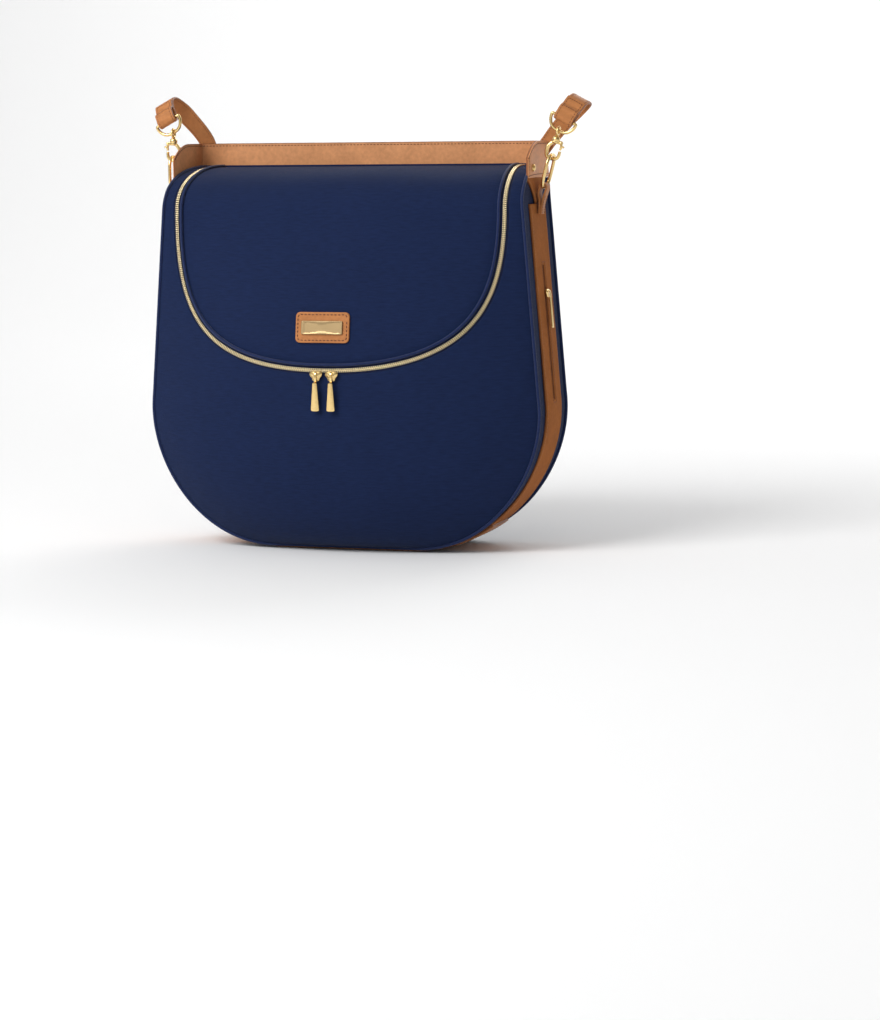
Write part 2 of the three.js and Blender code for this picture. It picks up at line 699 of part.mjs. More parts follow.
// The slider's body, with a bail at its lower end that the pull's slot hangs on.
function sliderBody() {
  const { width, height, depth } = SLIDER;
  const half = width / 2;
  const outline = polygon([
    [-half + 1.5, 0],
    [half - 1.5, 0],
    [half, -3],
    [half - 3, -height],
    [-half + 3, -height],
    [-half, -3],
  ]);
  const body = toSolid(plateXZ(outline, -depth, 0));
  const bail = toSolid(box(2, 2.4, 4, 0, -depth - 1, -height + 2.2));
  return toGeometry(body.add(bail));
}

function zipSliders() {
  for (const [side, name] of [[-1, "left"], [1, "right"]]) {
    const x = side * SLIDER.spacing;
    const [, surface] = frontPoint(x, SLIDER.top - 5, 0);
    const slider = add(`slider_${name}`, sliderBody(), GOLD);
    slider.position.set(x, surface - 2.2, SLIDER.top);
    const pull = add(`pull_${name}`, pullTab(PULL), GOLD);
    pull.position.set(x, surface - 2.2 - SLIDER.depth - 1.4, SLIDER.top - SLIDER.height - 3.2);
  }
}

function sideSlider(side, name) {
  const z = SIDE_SLIDER_HEIGHT;
  const slope = Math.atan((halfWidthAt(z + 40) - halfWidthAt(z - 40)) / 80);
  const holder = new THREE.Group();
  holder.position.set(side * (halfWidthAt(z) + LEATHER + 1.2), 0, z);
  holder.rotation.y = side * slope;
  bag.add(holder);
  const turn = side > 0 ? Math.PI / 2 : -Math.PI / 2;
  const { across, along } = SIDE_SLIDER_SCALE;
  const body = sliderBody().scale(across, along, along).rotateZ(turn);
  add(`side_slider_${name}`, body, GOLD, holder);
  const pull = pullTab(SIDE_PULL).rotateZ(turn);
  pull.translate(side * (SLIDER.depth * along + 1.2), 0, -SLIDER.height * along - 2.8);
  add(`side_pull_${name}`, pull, GOLD, holder);
}

const ringX = halfWidthAt(RING.lowBar) + RING.standOff;

// Points in the plane through the ring's bars, from distances beside x and heights.
const inPlane = (x, points) => points.map(([beside, z]) => new THREE.Vector3(x + beside, 0, z));

// A group that leans outwards about the ring's lower bar, in which the clipped pieces hang in line.
function leaningGroup(side, name) {
  const pivot = new THREE.Group();
  pivot.position.set(side * ringX, 0, RING.lowBar);
  pivot.rotation.y = side * HOOK_LEAN[name];
  bag.add(pivot);
  const upright = new THREE.Group();
  upright.position.set(-side * ringX, 0, -RING.lowBar);
  pivot.add(upright);
  return upright;
}

// The middle of the D-ring's upper bar, from the ring's lower bar, after leaning and tilting.
function dRingTop(side, name) {
  const reach = D_RING.bottom - RING.lowBar;
  const drop = D_RING.top - D_RING.bottom;
  const lean = HOOK_LEAN[name];
  return {
    x: ringX + reach * Math.sin(lean) + drop * Math.sin(STRAP_TILT),
    z: RING.lowBar + reach * Math.cos(lean) + drop * Math.cos(STRAP_TILT),
  };
}

function rings(side, name, leaning) {
  const x = side * ringX;
  const { width, height, lowBar } = RING;
  const oval = [
    [0, 0], [0.3, 0.01], [0.5, 0.25], [0.5, 0.75], [0.3, 0.99],
    [0, 1], [-0.3, 0.99], [-0.5, 0.75], [-0.5, 0.25], [-0.3, 0.01],
  ].map(([a, b]) => new THREE.Vector3(x, a * width, lowBar + b * height));
  const ovalBar = closedBar(new THREE.CatmullRomCurve3(oval, true), RING.barRadius, 22);
  add(`oval_ring_${name}`, ovalBar, GOLD, leaning);

  const half = D_RING.width / 2;
  const drop = D_RING.top - D_RING.bottom;
  const d = inPlane(0, [
    [-half + 1, 0], [0, 0], [half - 1, 0], [half, -2], [half * 0.8, -drop * 0.75],
    [half * 0.35, -drop], [-half * 0.35, -drop], [-half * 0.8, -drop * 0.75], [-half, -2],
  ]);
  const dBar = closedBar(new THREE.CatmullRomCurve3(d, true), D_RING.barRadius, 24);
  const ring = add(`d_ring_${name}`, dBar, GOLD);
  const top = dRingTop(side, name);
  ring.position.set(side * top.x, 0, top.z);
  ring.rotation.y = side * STRAP_TILT;
}

// The eye through the D-ring, with the stem that turns in the hook's barrel.
function swivelEye(x) {
  const points = steps(11, 0, (11 / 6) * Math.PI).map(
    (a) => new THREE.Vector3(x, EYE.radius * Math.sin(a), EYE.height + EYE.radius * Math.cos(a)),
  );
  const eye = toSolid(closedBar(new THREE.CatmullRomCurve3(points, true), EYE.rod, 14));
  const low = BARREL.low + BARREL.floor + 0.4;
  const length = EYE.height - EYE.radius - low;
  const stem = turned([[0, 0], [EYE.rod, 0], [EYE.rod, length], [0, length]], [0, 0, 1], 12);
  return toGeometry(eye.add(toSolid(stem.translate(x, 0, low))));
}

function swivelHook(side, name, leaning) {
  const x = side * ringX;
  add(`swivel_eye_${name}`, swivelEye(x), GOLD, leaning);

  const bore = EYE.rod + GAP;
  const { radius, floor } = BARREL;
  const barrelLength = BARREL.high - BARREL.low;
  const barrelProfile = [
    [0, 0],
    [radius - 0.4, 0],
    [radius, 1.5],
    [radius, 5],
    [radius - 0.6, barrelLength],
    [bore, barrelLength],
    [bore, floor],
    [0, floor],
  ];
  const barrel = turned(barrelProfile, [0, 0, 1], 16).translate(x, 0, BARREL.low);
  const bendLow = RING.lowBar + RING.height - RING.barRadius - HOOK_ROD_RADIUS - GAP;
  const bend = new THREE.CatmullRomCurve3(
    inPlane(x, [
      [-side * 1.5, BARREL.low + 1.4],
      [-side * 5.4, 398.2],
      [-side * 6.8, 392],
      [-side * 4.4, bendLow + 1.2],
      [0, bendLow],
      [side * 4.4, bendLow + 1.2],
      [side * 6.6, 390.5],
      [side * 6.6, 394.4],
    ]),
  );
  const rod = openBar(bend, HOOK_ROD_RADIUS, 14);
  const pivot = { x: x + side * GATE_PIVOT.out, z: GATE_PIVOT.height };
  const lug = box(5.4, 1.5, 3.4, pivot.x - side * 1.1, 1.15, pivot.z);
  const { pinRadius } = GATE_PIVOT;
  const holeRadius = pinRadius + GAP / 2;
  const pinHole = turned([[0, 0], [holeRadius, 0], [holeRadius, 8], [0, 8]], [0, 1, 0], 10);
  pinHole.translate(pivot.x, -4, pivot.z);
  const body = toSolid(barrel).add(toSolid(rod)).add(toSolid(lug)).subtract(toSolid(pinHole));
  add(`hook_${name}`, toGeometry(body), GOLD, leaning);

  const gateBar = box(2.6, 2.4, 7.6, pivot.x + side * 0.6, -1.1, pivot.z - 3.3);
  const thumb = box(3.4, 2, 2, pivot.x + side * 3, -1.1, pivot.z - 3.6);
  const gate = toSolid(gateBar).add(toSolid(thumb)).subtract(toSolid(pinHole));
  add(`gate_${name}`, toGeometry(gate), GOLD, leaning);
  const pin = turned([[0, 0], [pinRadius, 0], [pinRadius, 4.6], [0, 4.6]], [0, 1, 0], 10);
  pin.translate(pivot.x, -2.5, pivot.z);
  add(`gate_pin_${name}`, pin, GOLD, leaning);
}

// The middle line of a stroller strap as (y, z): from its stud behind the band, over the handlebar,
// round the D-ring's upper bar at z = barTop, and back onto itself.
function strapRoute(barTop) {
  const rearY = BAND.back + BAND.thickness + GAP + STRAP.thickness / 2;
  const gripZ = barTop + GRIP.rise;
  const around = (radius, ...degrees) =>
    degrees.map((d) => {
      const a = (d * Math.PI) / 180;
      return [GRIP.y + radius * Math.cos(a), gripZ + radius * Math.sin(a)];
    });
  const near = GRIP.radius + STRAP.thickness / 2;
  const far = near + STRAP.thickness + GAP;
  const fold = D_RING.barRadius + 0.5 + STRAP.thickness / 2;
  const turn = steps(4, 0, Math.PI).map((a) => [fold * Math.cos(a), barTop - fold * Math.sin(a)]);
  const route = [
    [rearY, STUD.z - 9],
    [rearY, STUD.z + 6],
    [rearY, gripZ - 18],
    ...around(near, 0, 30, 60, 90, 120, 150, 175),
    ...turn,
    [-fold, barTop + 2.5],
    [-fold * 0.45, barTop + 6],
    [fold * 0.15, barTop + 10],
    ...around(far, 150, 138, 126),
  ];
  const points = route.map(([y, z]) => new THREE.Vector3(0, y, z));
  return new THREE.CatmullRomCurve3(points, false, "centripetal");
}

function strollerStrap(side, name) {
  const top = dRingTop(side, name);
  const curve = strapRoute(top.z);
  const strap = closedSheet(steps(44), [-0.5, 0.5], (t, across, face) => {
    const point = curve.getPoint(t);
    const tangent = curve.getTangent(t);
    const inward = Math.max(0, 1 - t / 0.45) ** 1.5;
    const x = top.x + (STUD.x - top.x) * inward;
    const width = STRAP.width + (STRAP.rearWidth - STRAP.width) * inward;
    const tilt = STRAP_TILT * (1 - inward);
    const lift = (face - 0.5) * STRAP.thickness;
    const rise = point.z + tangent.y * lift - top.z;
    return [
      side * (x + rise * Math.sin(tilt)) + across * width * Math.cos(tilt),
      point.y - tangent.z * lift,
      top.z + rise * Math.cos(tilt) - side * across * width * Math.sin(tilt),
    ];
  });
  const studProfile = [[0, 0], [1.5, 0], [1.5, 6.4], [3.4, 6.8], [3.4, 8], [2, 9], [0, 9.2]];
  const stud = turned(studProfile, [0, 1, 0], 14);
  stud.translate(side * STUD.x, BAND.back + BAND.thickness + GAP, STUD.z);
  const hole = turned([[0, 0], [1.9, 0], [1.9, 20], [0, 20]], [0, 1, 0], 12);
  hole.translate(side * STUD.x, BAND.back - 4, STUD.z);
  add(`stroller_strap_${name}`, toGeometry(toSolid(strap).subtract(toSolid(hole))), TAN);
  add(`strap_stud_${name}`, stud, GOLD);
}

shellAndLid();
lidPiping();
backPanel();
gusset();
basePanel();
seamPiping("front_piping", -SEAM_DEPTH + 1, FRONT_RUN, true);
seamPiping("back_piping", SEAM_DEPTH - 1, BAND.low - 5, false);
liningAndPocket();
topBand();
patchAndNameplate();
zipSliders();
for (const [side, name] of [[-1, "left"], [1, "right"]]) {
  sideStrip(side, name);
  yokeAndRingTab(side, name);
  sideSlider(side, name);
  const leaning = leaningGroup(side, name);
  rings(side, name, leaning);
  swivelHook(side, name, leaning);
  strollerStrap(side, name);
}

export default group;
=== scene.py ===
"""A soft diaper bag with a U-zip lid, leather trim, swivel hooks and stroller straps.

Shapes are worked out in millimetres from the base seam line, as in the CAD part, and placed in metres.
"""

import math

import bmesh
import bpy
import numpy as np
from mathutils import Matrix, Vector


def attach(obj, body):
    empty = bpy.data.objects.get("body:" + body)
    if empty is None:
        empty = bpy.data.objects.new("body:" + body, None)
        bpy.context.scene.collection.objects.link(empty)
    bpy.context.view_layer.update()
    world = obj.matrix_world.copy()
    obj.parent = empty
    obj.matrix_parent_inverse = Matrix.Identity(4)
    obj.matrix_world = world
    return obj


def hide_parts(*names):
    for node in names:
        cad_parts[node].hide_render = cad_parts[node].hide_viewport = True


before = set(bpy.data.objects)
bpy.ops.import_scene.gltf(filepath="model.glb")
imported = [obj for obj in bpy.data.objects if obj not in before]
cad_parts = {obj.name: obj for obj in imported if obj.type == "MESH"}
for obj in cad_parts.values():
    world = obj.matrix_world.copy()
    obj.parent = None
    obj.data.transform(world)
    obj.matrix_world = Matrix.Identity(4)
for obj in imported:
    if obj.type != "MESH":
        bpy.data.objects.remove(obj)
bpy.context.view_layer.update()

# ---- driving dimensions, mm, as in the CAD part ----
BASE_LIFT = 4.3  # the base seam line stands this far above the floor
BAG_HEIGHT = 378
BASE_HALF_WIDTH = 76
WIDEST = (203, 150)
SHOULDER = (187, 350)
TOP_HALF_WIDTH = 179
SEAM_DEPTH = 50
EDGE_DEPTH, EDGE_HEIGHT = 78, 40  # the quarter ellipse by which the front turns into the top
FRONT_RUN = BAG_HEIGHT - EDGE_HEIGHT
TOP_BACK_DEPTH = 44
EDGE_RUN = math.pi / 2 * math.hypot(EDGE_DEPTH, EDGE_HEIGHT) / math.sqrt(2)
WHOLE_RUN = FRONT_RUN + EDGE_RUN + TOP_BACK_DEPTH + SEAM_DEPTH - EDGE_DEPTH
FRONT_BULGE = 50
TOP_BULGE = 9
BACK_BULGE = 14
BULGE_POWER = 2.3
BULGE_FADE = 1.6
GAP = 0.3  # between pieces that lie against each other
PANEL = 2.5
LINING = 1
LEATHER = 2
PIPING_RADIUS = 1.6
ZIP_HALF_WIDTH = 172
ZIP_BACK_HALF_WIDTH = 162
ZIP_PLAN_END = 60  # the depth at which the zip has come in to its back half width
ZIP_BOTTOM = 181
ZIP_SIDE_TOP = 336
TAPE = 3.4
BACK_TOP = 362  # the height at which the back panel lies flat again
BAND_LOW = 366
BAND_HIGH = 402
BAND_THICKNESS = 2.6
BAND_FRONT = -25
BAND_END_HEIGHT = 386  # the band's ends slope down to this at the front
BAND_SLOPE_FROM = 14
POCKET_SLOT = (149, 278, 3.0)  # in the gusset, under the strip: low end, high end, half width
SIDE_ZIP = (147.4, 279.6)
STRIP_LOW, STRIP_HIGH, STRIP_HALF_WIDTH = 24, 340.7, 27
YOKE_POINT, YOKE_TOP, YOKE_RISE = 341, 366.5, 24.5
YOKE_POINT_HALF_WIDTH, YOKE_HALF_WIDTH = 6, 28
RIVET = (-9, 376)  # depth and height
RING_LOW_BAR = 356.7
RING_WIDTH, RING_HEIGHT, RING_BAR_RADIUS, RING_STAND_OFF = 24, 32.6, 1.7, 10
TAB_DROP = 26  # how far the ring's tab reaches below its lower bar
D_RING_HALF_WIDTH, D_RING_DROP, D_RING_BAR_RADIUS = 13.5, 13.0, 1.6
D_RING_TOP = 414  # with the hook upright
EYE_HEIGHT, EYE_RADIUS = 413.3, 3.9
BARREL_BASE = 400.6
GATE_PIVOT = (6, 402.6)  # outwards from the ring's plane, and height
STRAP_WIDTH, STRAP_REAR_WIDTH, STRAP_THICKNESS = 20, 16, 2.2
GRIP_RADIUS, GRIP_DEPTH, GRIP_RISE = 20.5, 27, 0.5  # the handlebar that the strap goes round
STUD = (175, 392)  # x and height
PULL = (26, 4.6, 8.6, 2.4)  # length, top width, end width, thickness
SIDE_PULL = (28, 4.6, 7, 1.6)
SLIDER_X, SLIDER_RUN, PULL_RUN = 8.1, 180.6, 167.4
SIDE_SLIDER_HEIGHT = 256
PATCH = (-3, 223)  # the middle of the patch: x and run
SIDES = ((-1, "left"), (1, "right"))
STRAP_TILT = math.radians(28)
HOOK_LEAN = {"left": 0, "right": math.radians(15)}


# ---- outline and surfaces ----
def bezier(points, count):
    """Points of a cubic Bezier curve."""
    t = np.linspace(0, 1, count)[:, None]
    a, b, c, d = (np.array(p, float) for p in points)
    return (1 - t) ** 3 * a + 3 * (1 - t) ** 2 * t * b + 3 * (1 - t) * t * t * c + t**3 * d


lower_side = bezier([(BASE_HALF_WIDTH, 0), (158, 0), (211, 84), WIDEST], 120)
upper_side = bezier([SHOULDER, (187, 362), (185, 374), (TOP_HALF_WIDTH, BAG_HEIGHT)], 60)
OUTLINE = np.vstack([lower_side, upper_side])


def unit(vectors):
    return vectors / np.linalg.norm(vectors, axis=-1, keepdims=True)


def half_width(z):
    return np.interp(z, OUTLINE[:, 1], OUTLINE[:, 0])


def belly(height):
    return np.maximum(np.sin(np.pi * np.clip(height / BAG_HEIGHT, 0, 1) ** 0.62), 0) ** 0.8


def profile(run):
    """Middle line of the front and the lid: y, z, the outward direction and the bulge at each run."""
    run = np.asarray(run, float)
    edge = np.clip((run - FRONT_RUN) / EDGE_RUN, 0, 1)
    turn = edge * np.pi / 2
    past = np.maximum(run - FRONT_RUN - EDGE_RUN, 0)
    y = -SEAM_DEPTH + EDGE_DEPTH * (1 - np.cos(turn)) + past
    z = np.minimum(run, FRONT_RUN) + EDGE_HEIGHT * np.sin(turn)
    out_y, out_z = -EDGE_HEIGHT * np.cos(turn), EDGE_DEPTH * np.sin(turn)
    length = np.hypot(out_y, out_z)
    height = np.minimum(run, FRONT_RUN)
    front = FRONT_BULGE * belly(height) + TOP_BULGE * height / BAG_HEIGHT
    return y, z, out_y / length, out_z / length, front * (1 - edge) ** BULGE_FADE


def front_point(x, run, lift=0.0):
    y, z, out_y, out_z, bulge = profile(run)
    across = np.minimum(np.abs(x) / half_width(z), 1)
    out = bulge * (1 - across**BULGE_POWER) + lift
    return np.stack([np.broadcast_to(x, np.shape(out)), y + out_y * out, z + out_z * out], -1)


def front_normal(x, run):
    step = 0.5
    along_x = front_point(x + step, run) - front_point(x - step, run)
    up = front_point(x, run + step) - front_point(x, run - step)
    return unit(np.cross(along_x, up))


def back_point(x, z, lift=0.0):
    height = np.clip(z * BAG_HEIGHT / BACK_TOP, 0, BAG_HEIGHT)
    across = np.minimum(np.abs(x) / half_width(z), 1)
    swell = BACK_BULGE * belly(height) * (1 - across**BULGE_POWER)
    return np.stack([x + 0 * swell, SEAM_DEPTH + swell + lift, z + 0 * swell], -1)


def side_normal(z):
    slope = (half_width(z + 1) - half_width(z - 1)) / 2
    scale = 1 / np.hypot(1, slope)
    return scale, -slope * scale


def side_point(side, y, z, lift=0.0):
    """A point on the side of the bag, lifted off it."""
    nx, nz = side_normal(z)
    x = side * (half_width(z) + nx * lift)
    return np.stack([x + 0 * y, y + 0 * x, z + nz * lift + 0 * y], -1)


def grid_normals(points):
    """Unit normals of a grid of points, (rows, columns, 3)."""
    down = np.gradient(points, axis=0)
    across = np.gradient(points, axis=1)
    normal = np.cross(across, down)
    return normal / np.maximum(np.linalg.norm(normal, axis=-1, keepdims=True), 1e-9)


def path_length(points):
    gaps = np.linalg.norm(np.diff(points, axis=0), axis=1)
    return np.concatenate([[0], np.cumsum(gaps)])


def even_path(points, count, closed=False):
    """The path again, as evenly spaced points."""
    points = np.asarray(points, float)
    if closed:
        points = np.vstack([points, points[:1]])
    run = path_length(points)
    at = np.linspace(0, run[-1], count + 1)[:-1] if closed else np.linspace(0, run[-1], count)
    return np.stack([np.interp(at, run, points[:, k]) for k in range(points.shape[1])], -1)


def smooth_curve(points, count, closed=False):
    """A Catmull-Rom curve through the points, evenly spaced."""
    points = np.asarray(points, float)
    n = len(points)
    last = n if closed else n - 1
    found = []
    for i in range(last):
        if closed:
            a, b, c, d = (points[(i + k) % n] for k in (-1, 0, 1, 2))
        else:
            a, b, c, d = (points[min(max(i + k, 0), n - 1)] for k in (-1, 0, 1, 2))
        t = np.linspace(0, 1, 16, endpoint=False)[:, None]
        found.append(0.5 * (2 * b + (c - a) * t + (2 * a - 5 * b + 4 * c - d) * t**2
                            + (3 * b - a - 3 * c + d) * t**3))
    found = np.vstack(found if closed else found + [points[-1:]])
    return even_path(found, count, closed)


# ---- mesh building ----
def to_metres(points):
    points = np.asarray(points, float) * 0.001
    points[..., 2] += BASE_LIFT * 0.001
    return points


def make_object(name, points, faces, material, uv=None, smooth=True):
    """A mesh object from points in mm. uv is one pair in mm for each point."""
    mesh = bpy.data.meshes.new(name)
    mesh.from_pydata(to_metres(points).tolist(), [], [list(f) for f in faces])
    if uv is not None:
        layer = mesh.uv_layers.new(name="cloth")
        corners = np.empty(len(mesh.loops), int)
        mesh.loops.foreach_get("vertex_index", corners)
        layer.data.foreach_set("uv", (np.asarray(uv)[corners] * 0.001).ravel())
    build = bmesh.new()
    build.from_mesh(mesh)
    bmesh.ops.remove_doubles(build, verts=build.verts, dist=1e-6)
    bmesh.ops.recalc_face_normals(build, faces=build.faces)
    build.to_mesh(mesh)
    build.free()
    mesh.polygons.foreach_set("use_smooth", [smooth] * len(mesh.polygons))
    piece = bpy.data.objects.new(name, mesh)
    bpy.context.scene.collection.objects.link(piece)
    mesh.materials.append(material)
    return piece


def grid_faces(rows, columns, start=0, closed=False):
    last = columns if closed else columns - 1
    return [
        (start + r * columns + c, start + r * columns + (c + 1) % columns,
         start + (r + 1) * columns + (c + 1) % columns, start + (r + 1) * columns + c)
        for r in range(rows - 1)
        for c in range(last)
    ]


def sheet(name, outer, thickness, material, uv=None, closed=False, normals=None, hole=None, edge=None):
    """A closed panel: the outer grid, an inner one under it, and a rim round every open edge.

    hole(row, column) is true for the squares left out. edge is the material of the rim.
    """
    rows, columns = outer.shape[:2]
    if normals is None:
        normals = grid_normals(outer)
    inner = outer - normals * thickness
    count = rows * columns
    wide = columns if closed else columns - 1
    kept = [
        face
        for i, face in enumerate(grid_faces(rows, columns, 0, closed))
        if hole is None or not hole(i // wide, i % wide)
    ]
    used = {}
    for face in kept:
        for a, b in zip(face, face[1:] + face[:1]):
            used.setdefault((min(a, b), max(a, b)), []).append((a, b))
    rim = [(b, a, a + count, b + count) for edges in used.values() if len(edges) == 1 for a, b in edges]
    faces = kept + [tuple(i + count for i in reversed(face)) for face in kept] + rim
    if uv is None:
        down = path_length(outer[:, columns // 2])
        across = path_length(outer[rows // 2])
        uv = np.stack(np.meshgrid(across, down), -1)
    uv = np.vstack([uv.reshape(-1, 2), uv.reshape(-1, 2)])
    points = np.vstack([outer.reshape(-1, 3), inner.reshape(-1, 3)])
    piece = make_object(name, points, faces, material, uv)
    if edge is not None:
        piece.data.materials.append(edge)
        for i in range(2 * len(kept), len(piece.data.polygons)):
            piece.data.polygons[i].material_index = 1
    return piece


def frames_along(path, closed=False, up=None):
    """Tangent, side and up unit vectors along a path, turning as little as they can."""
    if closed:
        tangent = np.roll(path, -1, 0) - np.roll(path, 1, 0)
    else:
        tangent = np.gradient(path, axis=0)
    tangent = unit(tangent)
    if up is not None:
        up = unit(up - tangent * np.sum(up * tangent, 1, keepdims=True))
        return tangent, np.cross(tangent, up), up
    ups = np.empty_like(path)
    ups[0] = unit(np.cross(tangent[0], [0.13, 0.21, 0.97]))
    for i in range(1, len(path)):
        ups[i] = unit(ups[i - 1] - tangent[i] * np.dot(ups[i - 1], tangent[i]))
    return tangent, np.cross(tangent, ups), ups


def sweep(name, path, section, material, closed=False, up=None, scale=None, smooth=True):
    """A section of (side, up) points carried along a path, with its ends closed."""
    path = np.asarray(path, float)
    _, side, up = frames_along(path, closed, up)
    section = np.asarray(section, float)
    scale = np.ones(len(path)) if scale is None else np.asarray(scale)
    rings = (path[:, None] + side[:, None] * section[None, :, :1] * scale[:, None, None]
             + up[:, None] * section[None, :, 1:] * scale[:, None, None])
    n, m = len(path), len(section)
    faces = []
    for r in range(n if closed else n - 1):
        for c in range(m):
            a, b = r * m + c, r * m + (c + 1) % m
            e = ((r + 1) % n) * m
            faces.append((a, b, e + (c + 1) % m, e + c))
    if not closed:
        faces += [tuple(range(m)), tuple(range((n - 1) * m, n * m))]
    around = path_length(np.vstack([section, section[:1]]))[:-1]
    uv = np.stack(np.meshgrid(around, path_length(path)), -1).reshape(-1, 2)
    return make_object(name, rings.reshape(-1, 3), faces, material, uv, smooth)


def disc(radius, sides=12):
    a = np.arange(sides) * 2 * np.pi / sides
    return np.stack([radius * np.cos(a), radius * np.sin(a)], -1)


def tube(name, path, radius, material, closed=False, sides=12):
    return sweep(name, path, disc(radius, sides), material, closed)


def rounded_bar(width, thickness, radius, corner=5):
    """The section of a strap with rounded edges."""
    found = []
    for cx, cy, start in ((1, 1, 0), (-1, 1, 90), (-1, -1, 180), (1, -1, 270)):
        for a in np.radians(np.linspace(start, start + 90, corner)):
            found.append((cx * (width / 2 - radius) + radius * math.cos(a),
                          cy * (thickness / 2 - radius) + radius * math.sin(a)))
    return np.array(found)


def join(name, pieces):
    """One object from several."""
    for other in bpy.context.selected_objects:
        other.select_set(False)
    for piece in pieces:
        piece.select_set(True)
    bpy.context.view_layer.objects.active = pieces[0]
    bpy.ops.object.join()
    pieces[0].name = name
    return pieces[0]


def copies(name, template, places, material, smooth=True):
    """Copies of a small template (points, faces), each placed by a (origin, x, y, z) frame."""
    points, faces = template
    found, found_faces = [], []
    for origin, x, y, z in places:
        start = len(found) * len(points)
        turn = np.stack([x, y, z])
        found.append(points @ turn + origin)
        found_faces += [[start + i for i in f] for f in faces]
    return make_object(name, np.vstack(found), found_faces, material, None, smooth)


def template_from(build):
    points = np.array([v.co[:] for v in build.verts])
    faces = [[v.index for v in f.verts] for f in build.faces]
    build.free()
    return points, faces


def stitch_shape(length, radius):
    """One stitch: a short thread, fat in the middle, that dives in at both ends."""
    build = bmesh.new()
    bmesh.ops.create_uvsphere(build, u_segments=6, v_segments=5, radius=1)
    points, faces = template_from(build)
    points = points[:, [2, 0, 1]] * [length / 2, radius, radius]
    return points, faces


def block_shape(size, bevel):
    """A small block with bevelled edges."""
    build = bmesh.new()
    bmesh.ops.create_cube(build, size=1)
    bmesh.ops.scale(build, vec=size, verts=build.verts)
    bmesh.ops.bevel(build, geom=build.edges, offset=bevel, segments=1, affect="EDGES")
    build.verts.index_update()
    return template_from(build)


def row_places(path, up, pitch, shift=0.0, sideways=0.0, lift=0.0):
    """Evenly spaced frames along a path, for stitches and teeth."""
    run = path_length(path)
    at = np.arange(pitch * (0.5 + shift), run[-1] - pitch * 0.3, pitch)
    origin = np.stack([np.interp(at, run, path[:, k]) for k in range(3)], -1)
    tangent, _, lifted = frames_along(path, up=up)
    t = unit(np.stack([np.interp(at, run, tangent[:, k]) for k in range(3)], -1))
    u = np.stack([np.interp(at, run, lifted[:, k]) for k in range(3)], -1)
    u = unit(u - t * np.sum(u * t, 1, keepdims=True))
    s = np.cross(t, u)
    return list(zip(origin + s * sideways + u * lift, t, s, u))


def stitches(name, path, up, material, pitch=3.0, length=2.3, radius=0.32, lift=0.1):
    return copies(name, stitch_shape(length, radius), row_places(path, up, pitch, lift=lift), material)


def place(piece, body, slot, *nodes):
    """The piece moves with a body and stands for CAD nodes. The slot is not used."""
    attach(piece, body)
    if nodes:
        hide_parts(*nodes)
    return piece


# ---- materials ----
def new_material(name, colour, roughness, metallic=0.0):
    made = bpy.data.materials.new(name)
    made.use_nodes = True
    shader = made.node_tree.nodes["Principled BSDF"]
    shader.inputs["Base Color"].default_value = (*colour, 1)
    shader.inputs["Roughness"].default_value = roughness
    shader.inputs["Metallic"].default_value = metallic
    return made, made.node_tree.nodes, made.node_tree.links, shader


def math_node(nodes, links, kind, a, b=None, c=None):
    node = nodes.new("ShaderNodeMath")
    node.operation = kind
    for socket, value in zip(node.inputs, (a, b, c)):
        if value is None:
            continue
        if hasattr(value, "is_linked"):
            links.new(value, socket)
        else:
            socket.default_value = value
    return node.outputs[0]


def mixed_colour(nodes, links, factor, low, high):
    mix = nodes.new("ShaderNodeMix")
    mix.data_type = "RGBA"
    links.new(factor, mix.inputs["Factor"])
    mix.inputs[6].default_value = (*low, 1)
    mix.inputs[7].default_value = (*high, 1)
    return mix.outputs[2]


def bump(nodes, links, shader, height, distance, strength=1.0):
    node = nodes.new("ShaderNodeBump")
    node.inputs["Strength"].default_value = strength
    node.inputs["Distance"].default_value = distance
    links.new(height, node.inputs["Height"])
    links.new(node.outputs[0], shader.inputs["Normal"])
    return node


def noise_at(nodes, links, vector, scale, detail=2.0):
    node = nodes.new("ShaderNodeTexNoise")
    node.inputs["Scale"].default_value = scale
    node.inputs["Detail"].default_value = detail
    links.new(vector, node.inputs["Vector"])
    return node.outputs["Fac"]


